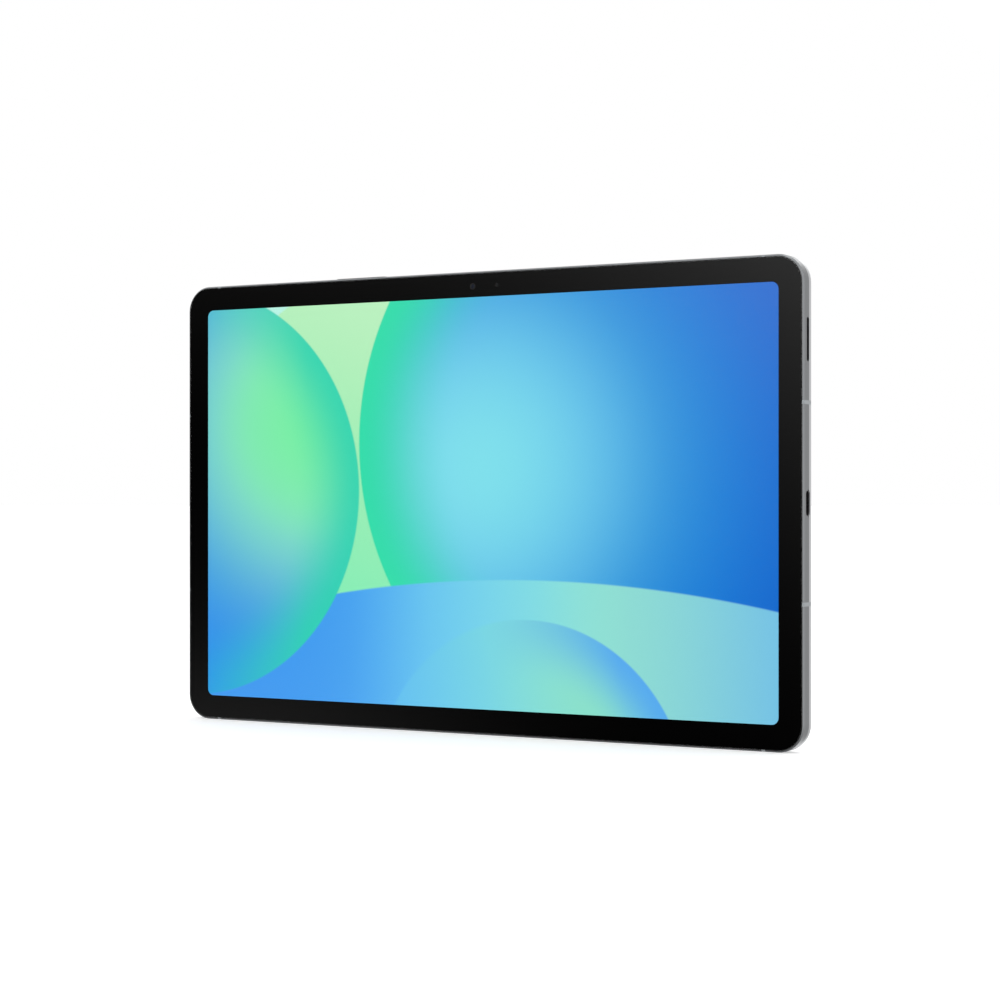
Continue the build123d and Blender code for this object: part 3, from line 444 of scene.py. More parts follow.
windowGlass = {"tint": (0.93, 0.95, 0.97), "ior": 1.5, "smudge": 0.3, "smudgeScale": 160.0,
               "dust": 0.1}


def chipFinish(node):
    # moulded resin with a pin-one dimple near the chip's corner
    low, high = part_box(node)
    inset = 1.1 * mm
    dot = (low.x + inset, low.y, high.z - inset)
    material, tree, sockets = newFinish("chip resin " + node, Specular_IOR_Level=0.35)
    skin = effect(tree, grain, Scale=7000.0, Blotch=300.0)
    away = vectorMaths(tree, "DISTANCE", objectPlace(tree), dot)
    dimple = spread(tree, away, 0.32 * mm, 0.4 * mm)
    colour = mixColour(tree, skin["Tone"], (0.016, 0.016, 0.017), (0.034, 0.034, 0.036))
    feed(tree, mixColour(tree, dimple, (0.07, 0.07, 0.07), colour), sockets["Base Color"])
    setRoughness(tree, sockets, skin["Tone"], 0.42, 0.6)
    height = maths(tree, "ADD", dimple, times(tree, skin["Height"], 0.3))
    bump(tree, sockets, height, 0.03 * mm)
    return material


def cellFinish():
    # an aluminium pouch film: soft wrinkles and a fine dimpled skin
    material, tree, sockets = newFinish("cell film", Metallic=0.55, Coat_Weight=0.25)
    wrinkle = noise(tree, objectPlace(tree), 70.0, 5.0, 0.6, 0.8)
    skin = effect(tree, grain, Scale=3500.0, Blotch=40.0)
    colour = mixColour(tree, skin["Tone"], (0.02, 0.021, 0.023), (0.05, 0.051, 0.055))
    feed(tree, colour, sockets["Base Color"])
    setRoughness(tree, sockets, wrinkle, 0.28, 0.46)
    height = maths(tree, "ADD", wrinkle, times(tree, skin["Height"], 0.08))
    bump(tree, sockets, height, 0.25 * mm)
    return material


def backlightFinish():
    # white film with the light guide's dots showing through
    material, tree, sockets = newFinish("backlight film", Specular_IOR_Level=0.5)
    spots = cells(tree, objectPlace(tree), 900.0, randomness=0.0)["Distance"]
    dot = spread(tree, spots, 0.22, 0.28)
    skin = effect(tree, grain, Scale=2600.0, Blotch=25.0)
    film = mixColour(tree, skin["Tone"], (0.78, 0.8, 0.82), (0.86, 0.88, 0.88))
    feed(tree, mixColour(tree, dot, (0.66, 0.7, 0.73), film), sockets["Base Color"])
    setRoughness(tree, sockets, skin["Tone"], 0.25, 0.4)
    bump(tree, sockets, dot, 0.01 * mm)
    return material


# the lit picture
screenBorder = 9.15 * mm
screenCorner = 2.5 * mm
paleGreen = shade(201, 252, 203)
picture = {
    "brightness": 1.09,
    "edge": 0.006,
    "ground": {
        "turn": 60, "reach": 1.9,
        "stops": ((0.2, shade(112, 204, 248)), (0.5, shade(192, 255, 248)), (0.8, paleGreen))},
    # overlapping soft discs, from the back to the front, in half screen heights; a disc's
    # colours run along its turn, or outwards from its focus, and its rim is tinted on one side
    "discs": (
        {"centre": (-0.7, 0.3), "radius": 0.8, "turn": 70,
         "stops": ((0.0, shade(132, 248, 190)), (0.55, shade(176, 250, 190)), (1.0, paleGreen))},
        {"centre": (0.78, 0.3), "radius": 1.44, "focus": (-0.75, -0.12), "reach": 2.0,
         "stops": ((0.0, shade(133, 234, 246)), (0.14, shade(130, 230, 246)),
                   (0.32, shade(104, 202, 244)), (0.5, shade(46, 154, 228)),
                   (0.7, shade(16, 124, 222)), (0.9, shade(4, 100, 208))),
         "rim": shade(54, 230, 178), "rimTurn": 180, "rimShare": 1.0},
        {"centre": (0.3, -7.37), "radius": 7.0, "turn": 0, "reach": 1.7,
         "stops": ((0.2, shade(64, 160, 250)), (0.34, shade(112, 210, 253)),
                   (0.52, shade(136, 232, 238)), (0.66, shade(160, 238, 208)),
                   (0.95, shade(100, 184, 250)))},
        {"centre": (0.3, -1.42), "radius": 0.86, "turn": 6, "rim": shade(84, 172, 252),
         "rimTurn": 10, "rimShare": 0.9,
         "stops": ((0.0, shade(92, 188, 255)), (0.4, shade(126, 226, 242)),
                   (0.7, shade(152, 238, 204)), (1.0, shade(130, 226, 214)))},
        {"centre": (-1.72, 0.06), "radius": 1.06, "focus": (0.8, 0.35), "reach": 1.5,
         "rim": shade(44, 220, 184), "rimTurn": 0, "rimShare": 0.9,
         "stops": ((0.1, shade(126, 250, 172)), (0.28, shade(136, 246, 184)),
                   (0.42, shade(134, 228, 212)), (0.6, shade(92, 184, 230)),
                   (0.77, shade(58, 158, 240)), (0.95, shade(38, 142, 250)))},
    ),
}


def alongTurn(tree, place, turn, reach):
    # 0 to 1 across a disc, in the direction that turn gives, in degrees from +X
    along = (cos(radians(turn)), 0.0, sin(radians(turn)))
    return spread(tree, vectorMaths(tree, "DOT_PRODUCT", place, along), -reach, reach)


def addDisc(tree, place, colour, disc):
    centre = (disc["centre"][0], 0.0, disc["centre"][1])
    radius = disc["radius"]
    reach = disc.get("reach", radius)
    offset = vectorMaths(tree, "SUBTRACT", place, centre)
    away = vectorMaths(tree, "LENGTH", offset)
    inside = spread(tree, away, radius + picture["edge"], radius - picture["edge"], smooth=True)
    if "focus" in disc:
        focus = (disc["focus"][0], 0.0, disc["focus"][1])
        share = spread(tree, vectorMaths(tree, "DISTANCE", offset, focus), 0.0, reach)
    else:
        share = alongTurn(tree, offset, disc["turn"], reach)
    own = ramp(tree, share, disc["stops"], "B_SPLINE")
    if "rim" in disc:
        rim = spread(tree, away, radius * 0.62, radius, smooth=True)
        side = spread(tree, alongTurn(tree, offset, disc["rimTurn"], radius), 0.45, 0.85)
        share = times(tree, times(tree, rim, side), disc["rimShare"])
        own = mixColour(tree, share, own, disc["rim"])
    return mixColour(tree, inside, colour, own)


def screenFinish():
    low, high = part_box("rear_housing")
    centre = Vector((0, 0, (low.z + high.z) / 2))
    halfWide = (high.x - low.x) / 2 - screenBorder
    halfHigh = (high.z - low.z) / 2 - screenBorder
    material, tree, sockets = newFinish("lit screen", Roughness=0.3, Emission_Strength=1.0,
                                        Specular_IOR_Level=0.1)
    place = placed(tree, centre, (1 / halfHigh, 0, 1 / halfHigh))
    ground = picture["ground"]
    colour = ramp(tree, alongTurn(tree, place, ground["turn"], ground["reach"]), ground["stops"])
    for disc in picture["discs"]:
        colour = addDisc(tree, place, colour, disc)
    # lit only inside the rounded opening, and only on the front face
    corner = screenCorner / halfHigh
    size = (halfWide / halfHigh - corner, 0, 1 - corner)
    past = vectorMaths(tree, "SUBTRACT", vectorMaths(tree, "ABSOLUTE", place), size)
    past = vectorMaths(tree, "LENGTH", vectorMaths(tree, "MAXIMUM", past, (0, 0, 0)))
    inside = maths(tree, "LESS_THAN", past, corner)
    facing = maths(tree, "LESS_THAN", splitAxes(tree, surfaceNormal(tree))[1], -0.9)
    lit = times(tree, inside, facing)
    cell = noise(tree, objectPlace(tree), 9000.0, 1.0)
    lit = times(tree, lit, fromNoise(tree, cell, 0.985, 1.015))
    level = times(tree, lit, picture["brightness"])
    feed(tree, mixColour(tree, level, (0, 0, 0), colour), sockets["Emission Color"])
    skin = mixColour(tree, cell, (0.004, 0.004, 0.005), (0.008, 0.008, 0.009))
    feed(tree, skin, sockets["Base Color"])
    return material


# lenses
def lensFinish(name, centre, look):
    # a dark iris under a coated dome, with a painted sheen of coloured reflection towards its rim
    # as seen; its rings are centred on the lens
    material, tree, sockets = newFinish(name, Coat_Weight=look["coat"], Coat_Roughness=0.02,
                                        Coat_IOR=1.7, Specular_IOR_Level=look["shine"])
    place = placed(tree, centre, (1, 0, 1))
    away = maths(tree, "DIVIDE", vectorMaths(tree, "LENGTH", place), look["radius"])
    colour = ramp(tree, away, look["rings"])
    # painted sheen: a coloured reflection mixed into the colour where the dome turns away from the
    # view
    sheen = addNode(tree, "ShaderNodeLayerWeight", Blend=0.35).outputs["Facing"]
    colour = mixColour(tree, times(tree, sheen, 0.5), colour, look["coatingSheen"])
    blot = noise(tree, place, 900.0, 3.0)
    colour = mixColour(tree, times(tree, blot, 0.3), colour, look["rings"][0][1])
    feed(tree, colour, sockets["Base Color"])
    setRoughness(tree, sockets, blot, 0.05, 0.12)
    return material


def lathe(name, centre, profile, material):
    # a closed piece of revolution about Y; profile is (radius, y) from one pole to the other
    turns = 64
    mesh = bmesh.new()
    rings = []
    for radius, y in profile:
        count = turns if radius > 0 else 1
        ring = [mesh.verts.new((centre.x + radius * cos(2 * pi * i / turns), y,
                                centre.z + radius * sin(2 * pi * i / turns)))
                for i in range(count)]
        rings.append(ring)
    for first, second in zip(rings, rings[1:]):
        for i in range(turns):
            j = (i + 1) % turns
            corners = [first[i % len(first)], first[j % len(first)],
                       second[j % len(second)], second[i % len(second)]]
            mesh.faces.new(list(dict.fromkeys(corners)))
    bmesh.ops.recalc_face_normals(mesh, faces=mesh.faces)
    for face in mesh.faces:
        face.smooth = True
    return finishMesh(name, mesh, material)


def addObject(name, data):
    thing = bpy.data.objects.new(name, data)
    bpy.context.scene.collection.objects.link(thing)
    return thing


def finishMesh(name, mesh, material):
    data = bpy.data.meshes.new(name)
    mesh.to_mesh(data)
    mesh.free()
    data.materials.append(material)
    data.set_sharp_from_angle(angle=radians(35))
    return addObject(name, data)


lensLook = {
    "rear_camera_lens": {
        "dome": 0.24 * mm, "face": 1, "coatingSheen": (0.05, 0.03, 0.16), "coat": 1.0, "shine": 0.5,
        "rings": ((0.0, (0.001, 0.001, 0.002)), (0.3, (0.002, 0.002, 0.006)),
                  (0.36, (0.02, 0.03, 0.06)), (0.5, (0.006, 0.008, 0.02)),
                  (0.56, (0.03, 0.03, 0.04)), (0.8, (0.008, 0.008, 0.01)),
                  (0.88, (0.04, 0.04, 0.045)), (1.0, (0.006, 0.006, 0.007)))},
    "front_camera_lens": {
        "dome": 0.06 * mm, "face": -1, "coatingSheen": (0.02, 0.03, 0.1), "coat": 0.0, "shine": 0.1,
        "rings": ((0.0, (0.002, 0.003, 0.008)), (0.35, (0.012, 0.02, 0.05)),
                  (0.5, (0.02, 0.035, 0.09)), (0.72, (0.01, 0.014, 0.03)),
                  (0.85, (0.03, 0.03, 0.035)), (1.0, (0.004, 0.004, 0.005)))},
}


def makeLens(node, look):
    # the CAD lens's disc as a dome with a ground edge
    low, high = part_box(node)
    centre = (low + high) / 2
    radius = (high.x - low.x) / 2
    base, tip = (low.y, high.y) if look["face"] > 0 else (high.y, low.y)
    step = (tip - base) / abs(tip - base)
    shoulder = tip - step * look["dome"]
    profile = [(0, base), (radius, base), (radius, shoulder)]
    steps = 10
    for i in range(1, steps + 1):
        angle = i / steps * pi / 2
        profile.append((radius * 0.97 * cos(angle), shoulder + step * look["dome"] * sin(angle)))
    profile[-1] = (0, tip)
    finish = lensFinish(node + " glass", centre, dict(look, radius=radius))
    piece = lathe(node.replace("camera_lens", "lens_dome"), centre, profile, finish)
    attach(piece, "tablet")
    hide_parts(node)


# repeated pieces
def startTree(title, inputs):
    tree = bpy.data.node_groups.new(title, "GeometryNodeTree")
    sockets = tree.interface
    sockets.new_socket("Geometry", in_out="OUTPUT", socket_type="NodeSocketGeometry")
    sockets.new_socket("Geometry", in_out="INPUT", socket_type="NodeSocketGeometry")
    for name, kind in inputs.items():
        sockets.new_socket(name, in_out="INPUT", socket_type="NodeSocket" + kind)
    given = tree.nodes.new("NodeGroupInput").outputs
    result = tree.nodes.new("NodeGroupOutput").inputs
    return tree, given, result


def geo(tree, kind, settings=None, **inputs):
    return addNode(tree, "GeometryNode" + kind, settings, **inputs).outputs[0]


def joined(tree, *parts):
    node = tree.nodes.new("GeometryNodeJoinGeometry")
    for part in parts:
        tree.links.new(part, node.inputs[0])
    return node.outputs[0]


def closeTree(tree, given, result, shape):
    whole = geo(tree, "RealizeInstances", Geometry=shape)
    whole = geo(tree, "SetMaterial", Geometry=whole, Material=given["Material"])
    tree.links.new(whole, result[0])
    return tree


def growPiece(name, source, tree, values):
    # run the tree on a source mesh and keep the result as a plain mesh
    piece = addObject(name, source)
    modifier = piece.modifiers.new("grow", "NODES")
    modifier.node_group = tree
    for item in tree.interface.items_tree:
        if item.in_out == "INPUT" and item.name in values:
            modifier[item.identifier] = values[item.name]
    ready = piece.evaluated_get(bpy.context.evaluated_depsgraph_get())
    mesh = bpy.data.meshes.new_from_object(ready)
    piece.modifiers.remove(modifier)
    piece.data = mesh
    mesh.name = name
    return piece


def sourceMesh(name, points, edges=()):
    mesh = bpy.data.meshes.new(name)
    mesh.from_pydata([tuple(point) for point in points], list(edges), [])
    return mesh


rowRise = 0.866  # of the pitch, from one staggered row to the next


def sheetTree():
    # a round-ended sheet full of holes, in staggered rows, closed front and back
    inputs = {"Length": "Float", "Width": "Float", "Margin": "Float", "Pitch": "Float",
              "Hole": "Float", "Thickness": "Float", "Rows": "Int", "Columns": "Int",
              "Material": "Material"}
    tree, given, result = startTree("perforated sheet", inputs)
    length, width, pitch = given["Length"], given["Width"], given["Pitch"]
    columns, rows = given["Columns"], given["Rows"]
    outline = geo(tree, "CurvePrimitiveQuadrilateral", Width=length, Height=width)
    outline = geo(tree, "FilletCurve", {"mode": "POLY"}, Curve=outline, Count=8,
                  Radius=times(tree, width, 0.499), Limit_Radius=True)
    wide = times(tree, maths(tree, "SUBTRACT", columns, 1.0), pitch)
    high = times(tree, maths(tree, "SUBTRACT", rows, 1.0), times(tree, pitch, rowRise))
    grid = geo(tree, "MeshGrid", Size_X=wide, Size_Y=high, Vertices_X=columns, Vertices_Y=rows)
    row = maths(tree, "MODULO", geo(tree, "InputIndex"), rows)
    shift = maths(tree, "SUBTRACT", maths(tree, "MODULO", row, 2.0), 0.5)
    shift = times(tree, times(tree, shift, pitch), 0.5)
    grid = geo(tree, "SetPosition", Geometry=grid, Offset=joinAxes(tree, X=shift))
    # keep the holes that lie inside the slot
    place = splitAxes(tree, geo(tree, "InputPosition"))
    inner = maths(tree, "SUBTRACT", width, times(tree, given["Margin"], 2.0))
    straight = times(tree, maths(tree, "SUBTRACT", length, width), 0.5)
    beyond = maths(tree, "SUBTRACT", maths(tree, "ABSOLUTE", place[0]), straight)
    beyond = maths(tree, "MAXIMUM", beyond, 0.0)
    away = vectorMaths(tree, "LENGTH", joinAxes(tree, X=beyond, Y=place[1]))
    limit = maths(tree, "SUBTRACT", times(tree, inner, 0.5), given["Hole"])
    outside = maths(tree, "GREATER_THAN", away, limit)
    grid = geo(tree, "DeleteGeometry", Geometry=grid, Selection=outside)
    ring = geo(tree, "CurvePrimitiveCircle", Resolution=10, Radius=given["Hole"])
    holes = geo(tree, "InstanceOnPoints", Points=grid, Instance=ring)
    holes = geo(tree, "RealizeInstances", Geometry=holes)
    face = geo(tree, "FillCurve", Curve=joined(tree, outline, holes))
    raised = geo(tree, "ExtrudeMesh", Mesh=face, Offset_Scale=given["Thickness"],
                 Individual=False)
    back = geo(tree, "FlipFaces", Mesh=face)
    sheet = geo(tree, "MergeByDistance", Geometry=joined(tree, raised, back),
                Distance=0.001 * mm)
    # stand the sheet up and set one at each point of the source, facing outwards
    side = maths(tree, "SIGN", splitAxes(tree, geo(tree, "InputPosition"))[0])
    turn = joinAxes(tree, Y=times(tree, side, pi / 2))
    sheets = geo(tree, "InstanceOnPoints", Points=given["Geometry"], Instance=sheet,
                 Rotation=turn)
    return closeTree(tree, given, result, sheets)


def contactTree():
    # sprung contact strips at an even pitch along every edge of the source
    inputs = {"Pitch": "Float", "Length": "Float", "Width": "Float", "Thickness": "Float",
              "Arch": "Float", "Upright": "Float", "Material": "Material"}
    tree, given, result = startTree("contact rows", inputs)
    rows = geo(tree, "MeshToCurve", Mesh=given["Geometry"])
    points = geo(tree, "CurveToPoints", {"mode": "LENGTH"}, Curve=rows, Length=given["Pitch"])
    half = times(tree, given["Length"], 0.5)
    start = joinAxes(tree, X=times(tree, half, -1.0))
    middle = joinAxes(tree, Z=given["Arch"])
    path = geo(tree, "CurveQuadraticBezier", Resolution=6, Start=start, Middle=middle,
               End=joinAxes(tree, X=half))
    section = geo(tree, "CurvePrimitiveQuadrilateral", Width=given["Width"],
                  Height=given["Thickness"])
    path = geo(tree, "SetCurveNormal", {"mode": "Z_UP"}, Curve=path)
    strip = geo(tree, "CurveToMesh", Curve=path, Profile_Curve=section, Fill_Caps=True)
    turn = joinAxes(tree, X=pi / 2, Y=given["Upright"])
    strips = geo(tree, "InstanceOnPoints", Points=points, Instance=strip, Rotation=turn)
    return closeTree(tree, given, result, strips)


def partTree():
    # small two-ended parts on the source's points, in a few sizes and two directions
    inputs = {"Length": "Float", "Width": "Float", "Height": "Float", "Seed": "Int",
              "Material": "Material"}
    tree, given, result = startTree("board parts", inputs)
    length, width, height = given["Length"], given["Width"], given["Height"]
    body = joinAxes(tree, X=times(tree, length, 0.56), Y=width, Z=height)
    cap = joinAxes(tree, X=times(tree, length, 0.24), Y=times(tree, width, 1.06),
                   Z=times(tree, height, 1.06))
    middle = geo(tree, "MeshCube", Size=body)
    ends = []
    for side in (-0.38, 0.38):
        move = joinAxes(tree, X=times(tree, length, side))
        end = geo(tree, "MeshCube", Size=cap)
        ends.append(geo(tree, "Transform", Geometry=end, Translation=move))
    tinned = geo(tree, "StoreNamedAttribute", {"data_type": "FLOAT", "domain": "FACE"},
                 Geometry=joined(tree, *ends), Name="tinned", Value=1.0)
    part = joined(tree, middle, tinned)
    move = joinAxes(tree, Z=times(tree, height, 0.53))
    part = geo(tree, "Transform", Geometry=part, Translation=move)
    quarter = addNode(tree, "FunctionNodeRandomValue", {"data_type": "INT"}, Seed=given["Seed"])
    quarter.inputs[4].default_value = 0
    quarter.inputs[5].default_value = 1
    turn = joinAxes(tree, X=pi / 2, Y=times(tree, quarter.outputs[2], pi / 2))
    size = addNode(tree, "FunctionNodeRandomValue", {"data_type": "FLOAT"}, Seed=given["Seed"])
    size.inputs[2].default_value = 0.6
    size.inputs[3].default_value = 1.15
    parts = geo(tree, "InstanceOnPoints", Points=given["Geometry"], Instance=part, Rotation=turn,
                Scale=size.outputs[1])
    return closeTree(tree, given, result, parts)


meshSheet = {"pitch": 0.46, "hole": 0.3, "thickness": 0.3, "margin": 0.55}


def makeSpeakerSheets(finish):
    # both perforated sheets take their outline and places from the CAD's plain ones
    low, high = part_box("speaker_meshes")
    length, width = high.z - low.z, high.y - low.y
    thickness = meshSheet["thickness"] * mm
    pitch = meshSheet["pitch"] * mm
    middleY, middleZ = (low.y + high.y) / 2, (low.z + high.z) / 2
    seat = high.x - thickness
    values = {
        "Length": length, "Width": width, "Thickness": thickness, "Pitch": pitch,
        "Hole": meshSheet["hole"] * mm / 2, "Margin": meshSheet["margin"] * mm,
        "Rows": int(width / (pitch * rowRise)) | 1, "Columns": int(length / pitch) | 1,
        "Material": finish,
    }
    source = sourceMesh("sheet places", ((-seat, middleY, middleZ), (seat, middleY, middleZ)))
    piece = growPiece("speaker_sheets", source, sheetTree(), values)
    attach(piece, "tablet")
    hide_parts("speaker_meshes")


# sizes of both kinds of contact, in mm
socketContacts = {"count": 12, "pitch": 0.5, "width": 0.28, "length": 3.4, "thickness": 0.05,
                  "tongueHalf": 0.35, "arch": 0.0}
plugContacts = {"pitch": 0.4, "width": 0.2, "length": 0.7, "thickness": 0.05, "inset": 0.45,
                "beside": 0.1, "arch": 0.08}


def contactValues(look, finish):
    names = ("Pitch", "Length", "Width", "Thickness", "Arch")
    return dict({name: look[name.lower()] * mm for name in names}, Material=finish)


def makeSocketContacts(tree, finish):
    # a row of strips on each face of the tongue, a fifth of their thickness sunk into it
    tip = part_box("usb_tongue")[1].x
    low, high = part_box("usb_shell")
    middleY, middleZ = (low.y + high.y) / 2, (low.z + high.z) / 2
    # a hair more, so that rounding never drops the last strip
    half = socketContacts["pitch"] * mm * (socketContacts["count"] - 1) / 2 + 1e-7
    x = tip - socketContacts["length"] * mm * 0.6
    points = []
    edges = []
    for side in (-1, 1):
        y = middleY + side * (socketContacts["tongueHalf"] + socketContacts["thickness"] * 0.3) * mm
        points += [(x, y, middleZ - half), (x, y, middleZ + half)]
        edges.append((len(points) - 2, len(points) - 1))
    values = dict(contactValues(socketContacts, finish), Upright=0.0)
    piece = growPiece("usb_contacts", sourceMesh("socket rows", points, edges), tree, values)
    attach(piece, "tablet")


def looseParts(node):
    # the corners of each separate solid of a CAD node
    mesh = bmesh.new()
    mesh.from_mesh(nodes[node].data)
    bmesh.ops.remove_doubles(mesh, verts=mesh.verts, dist=0.001 * mm)
    left = set(mesh.verts)
    boxes = []
    while left:
        stack = [left.pop()]
        found = list(stack)
        while stack:
            for edge in stack.pop().link_edges:
                for vert in edge.verts:
                    if vert in left:
                        left.discard(vert)
                        stack.append(vert)
                        found.append(vert)
        places = [vert.co for vert in found]
        boxes.append((Vector(map(min, zip(*places))), Vector(map(max, zip(*places)))))
    mesh.free()
    return sorted(boxes, key=lambda box: (box[0].x, box[0].z))


def makePlugContacts(tree, finish):
    # a row of contacts along both long sides of every connector on the boards
    rows = {"long": ([], []), "tall": ([], [])}
    for low, high in looseParts("board_connectors"):
        long = high.x - low.x > high.z - low.z
        points, edges = rows["long" if long else "tall"]
        inset = plugContacts["inset"] * mm
        y = low.y + 0.6 * (high.y - low.y)
        for side in (-1, 1):
            edge = low if side < 0 else high
            beside = side * plugContacts["beside"] * mm
            if long:
                z = edge.z + beside
                points += [(low.x + inset, y, z), (high.x - inset, y, z)]
            else:
                x = edge.x + beside
                points += [(x, y, low.z + inset), (x, y, high.z - inset)]
            edges.append((len(points) - 2, len(points) - 1))
    values = contactValues(plugContacts, finish)
    for name, upright in (("long", pi / 2), ("tall", 0.0)):
        points, edges = rows[name]
        if points:
            piece = growPiece("plug_contacts_" + name, sourceMesh(name + " rows", points, edges),
                              tree, dict(values, Upright=upright))
            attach(piece, "tablet")


boardParts = {"length": 1.0, "width": 0.5, "height": 0.45, "spacing": 1.7, "clear": 1.0, "seed": 5}


def makeBoardParts(tree, finish):
    # passives on the boards' front faces, on two grid places in three, wherever no other
    # piece stands or passes
    taken = [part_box(name) for name in ("front_camera", "front_camera_ribbon", "key_ribbon",
                                       "battery_ribbon", "rear_camera_ribbon", "card_reader",
                                       "display_ribbon", "usb_tongue")]
    for name in ("shield_cans", "board_connectors", "board_screws", "usb_ribbon"):
        taken += looseParts(name)
    step = boardParts["spacing"] * mm
    clear = boardParts["clear"] * mm
    points = []
    for board in ("main_board", "usb_board"):
        low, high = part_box(board)
        columns = int((high.x - low.x) / step)
        rows = int((high.z - low.z) / step)
        for column in range(1, columns):
            for row in range(1, rows):
                x, z = low.x + column * step, low.z + row * step
                free = all(x < a.x - clear or x > b.x + clear or z < a.z - clear or z > b.z + clear
                           for a, b in taken)
                if free and (column * 7 + row * 5) % 6 < 4:
                    points.append((x, low.y, z))
    values = {"Length": boardParts["length"] * mm, "Width": boardParts["width"] * mm,
              "Height": boardParts["height"] * mm, "Seed": boardParts["seed"], "Material": finish}
    piece = growPiece("board_parts", sourceMesh("part places", points), tree, values)
    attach(piece, "tablet")
    print("board parts:", len(points))


def partFinish():
    material, tree, sockets = newFinish("tinned part")
    cap = addNode(tree, "ShaderNodeAttribute", {"attribute_name": "tinned"}).outputs["Fac"]
    patch = firstChannel(tree, cells(tree, objectPlace(tree), 260.0)["Color"])
    ceramic = ramp(tree, patch, ((0.2, (0.02, 0.02, 0.022)), (0.5, (0.16, 0.1, 0.06)),
                                 (0.8, (0.3, 0.22, 0.13))))
    feed(tree, mixColour(tree, cap, ceramic, (0.6, 0.6, 0.58)), sockets["Base Color"])
    feed(tree, cap, sockets["Metallic"])
    skin = effect(tree, grain, Scale=6000.0, Blotch=400.0)
    setRoughness(tree, sockets, skin["Tone"], 0.25, 0.5)
    bump(tree, sockets, skin["Height"], 0.01 * mm)
    return material


# finishes on the CAD nodes
finishes = {
    "frame_metal": metalFinish("anodised housing", housingFinish),
    "key_metal": metalFinish("anodised keys", keyFinish),
    "cover_glass": glassFinish("cover glass", coverGlass),
    "window_glass": glassFinish("camera window glass", windowGlass),
    "screen": screenFinish(),
    "cell_film": cellFinish(),
    "backlight_white": backlightFinish(),
}
for slot, look in plasticFinishes.items():
    finishes[slot] = plasticFinish(slot.replace("_", " "), look)
for slot, look in brushedFinishes.items():
    finishes[slot] = brushedFinish(slot.replace("_", " "), look)
for slot, look in boardFinishes.items():
    finishes[slot] = boardFinish(slot.replace("_", " "), look)
ownFinishes = {
    "rear_camera_ring": metalFinish("camera ring", ringFinish),
    "light_sensor": plasticFinish("smoked guide", smokedGuide),
}
for chip in ("processor", "storage_chip", "power_chip", "radio_chip"):
    ownFinishes[chip] = chipFinish(chip)
goldFinish = brushedFinish("gold plating", {
    "colour": (0.83, 0.58, 0.24), "stain": (0.6, 0.4, 0.16), "roughness": 0.22,
    "scale": 3000.0, "along": 0.2, "upward": 1.0, "depth": 0.001 * mm})

for name, piece in nodes.items():
    for slot in piece.material_slots:
        slotName = slot.material.name.split(".")[0]
        if name in ownFinishes:
            slot.material = ownFinishes[name]
        elif slotName in finishes:
            slot.material = finishes[slotName]
        elif slotName != "lens_glass":
            print("no finish for", name, slotName)
print("finishes placed")

for node, look in lensLook.items():
    makeLens(node, look)
makeSpeakerSheets(finishes["mesh_grey"])
contacts = contactTree()
makeSocketContacts(contacts, goldFinish)
makePlugContacts(contacts, goldFinish)
makeBoardParts(partTree(), partFinish())
print("repeated pieces grown")


# stage, light and camera
floorLook = {"radius": 30.0, "glow": 0.42, "colour": (0.9, 0.9, 0.9)}


def makeFloor():
    mesh = bmesh.new()
    bmesh.ops.create_circle(mesh, cap_ends=True, segments=96, radius=floorLook["radius"])
    material, tree, sockets = newFinish("studio floor", Roughness=0.7, Specular_IOR_Level=0.1,
                                        Emission_Strength=floorLook["glow"])
    tone = noise(tree, objectPlace(tree), 30.0, 3.0)
    colour = floorLook["colour"]
    feed(tree, mixColour(tree, tone, scaled(colour, 0.985), colour), sockets["Base Color"])
    sockets["Emission Color"].default_value = (1, 1, 1, 1)
    floor = finishMesh("studio_floor", mesh, material)
    floor.visible_glossy = False  # the glass mirrors the room, not the floor
    floor.visible_transmission = False


def direction(azimuth, elevation):
    # azimuth in degrees from straight in front (-Y) towards +X
    a, e = radians(azimuth), radians(elevation)
    return (sin(a) * cos(e), -cos(a) * cos(e), sin(e))


studio = {
    "room": 0.92,             # the pale room
    "low": 0.4,               # its share of light far below the horizon
    "dark": direction(-30, 0),  # a black flag, which the glass mirrors
    "flagInner": 0.95,        # cosines where the flag's edge starts and ends
    "flagOuter": 0.15,
    "flagGlow": 0.004,
    # soft boxes round the tablet: direction, tightness, strength
    "boxes": ((direction(-9.7, 24.2), 34.0, 7.4), (direction(-37, -12), 200.0, 0.68),
              (direction(-37, 12), 200.0, 0.2),
              (direction(186.5, 22), 90.0, 2.2), (direction(186.5, -22), 90.0, 2.2),
              (direction(118, -4), 12.0, 0.7), (direction(-50, -19), 70.0, 0.8)),
    "boxLimit": 2.5,
}


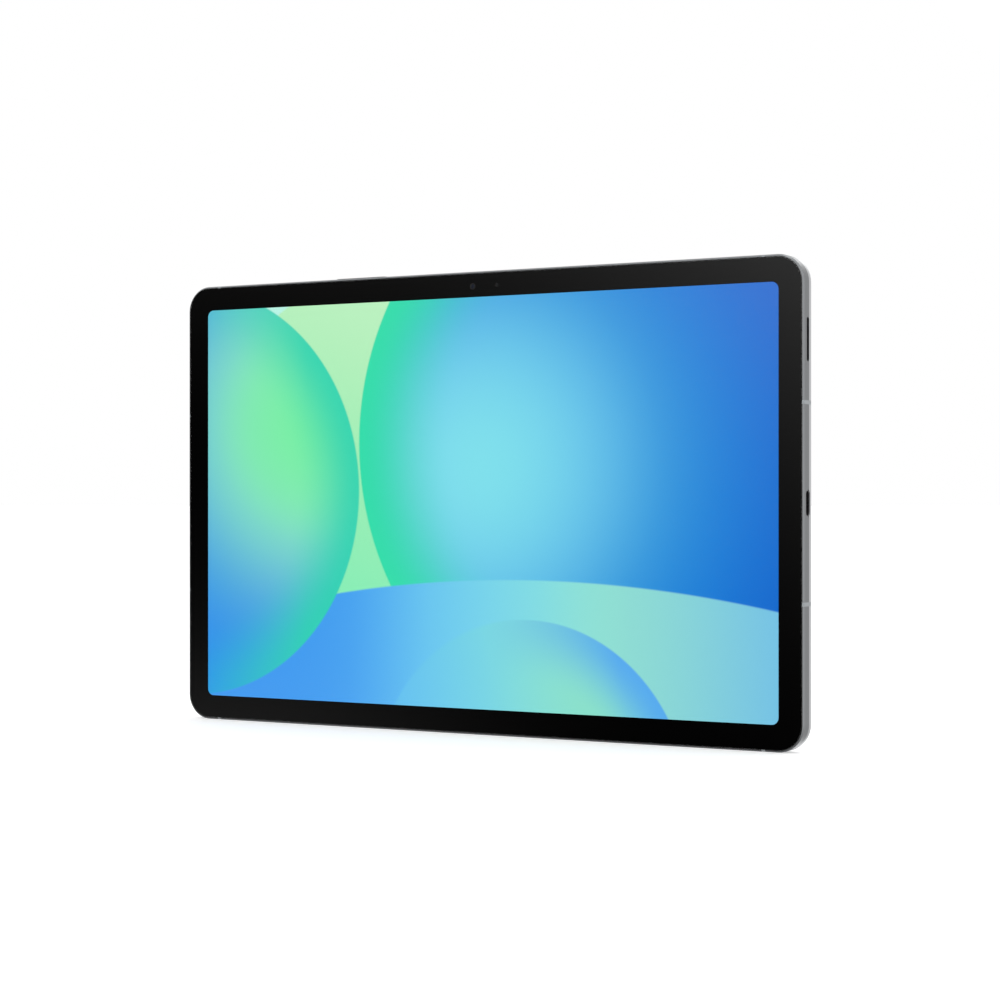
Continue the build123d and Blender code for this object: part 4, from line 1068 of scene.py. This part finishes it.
def lightRoom():
    world = bpy.data.worlds.new("studio room")
    bpy.context.scene.world = world
    world.use_nodes = True
    tree = world.node_tree
    tree.nodes.clear()
    look = addNode(tree, "ShaderNodeTexCoord").outputs["Generated"]
    look = vectorMaths(tree, "NORMALIZE", look)
    toDark = vectorMaths(tree, "DOT_PRODUCT", look, studio["dark"])
    light = spread(tree, toDark, studio["flagInner"], studio["flagOuter"], studio["flagGlow"],
                   studio["room"], smooth=True)
    rise = splitAxes(tree, look)[2]
    light = times(tree, light, spread(tree, rise, -0.8, -0.1, studio["low"], 1.0))
    for towards, tightness, strength in studio["boxes"]:
        near = maths(tree, "MAXIMUM", vectorMaths(tree, "DOT_PRODUCT", look, towards), 0.0)
        glow = times(tree, maths(tree, "POWER", near, tightness), strength)
        glow = maths(tree, "MINIMUM", glow, studio["boxLimit"])
        light = maths(tree, "ADD", light, glow)
    seen = addNode(tree, "ShaderNodeLightPath").outputs["Is Camera Ray"]
    light = maths(tree, "MAXIMUM", light, seen)
    back = addNode(tree, "ShaderNodeBackground", Strength=light)
    back.inputs["Color"].default_value = (1, 1, 1, 1)
    out = tree.nodes.new("ShaderNodeOutputWorld")
    tree.links.new(back.outputs[0], out.inputs["Surface"])


def addAreaLight(name, place, target, size, power):
    data = bpy.data.lights.new(name, "AREA")
    data.shape = "DISK"
    data.size = size
    data.energy = power
    light = addObject(name, data)
    light.location = place
    light.rotation_euler = (Vector(target) - Vector(place)).to_track_quat("-Z", "Y").to_euler()


view = {
    "turn": 29.86,  # degrees to the right of straight ahead
    "beside": 0.4125,  # where the camera stands, from the screen's middle, in metres
    "ahead": 0.6985,
    "rise": 0.0011,
    "lens": 81.54,
    "sensor": 36.0,
}


def placeCamera():
    low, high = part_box("rear_housing")
    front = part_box("cover_glass")[0].y
    data = bpy.data.cameras.new("camera")
    data.lens = view["lens"]
    data.sensor_width = view["sensor"]
    data.clip_start = 0.01
    data.clip_end = 100.0
    camera = addObject("camera", data)
    camera.location = (view["beside"], front - view["ahead"], (low.z + high.z) / 2 + view["rise"])
    camera.rotation_euler = (pi / 2, 0.0, radians(view["turn"]))
    bpy.context.scene.camera = camera


makeFloor()
lightRoom()
addAreaLight("overhead", (0.3, 0.5, 1.6), (0, 0, 0), 1.2, 7.0)
placeCamera()
bpy.context.scene.view_settings.view_transform = "Standard"
print("stage, light and camera set")
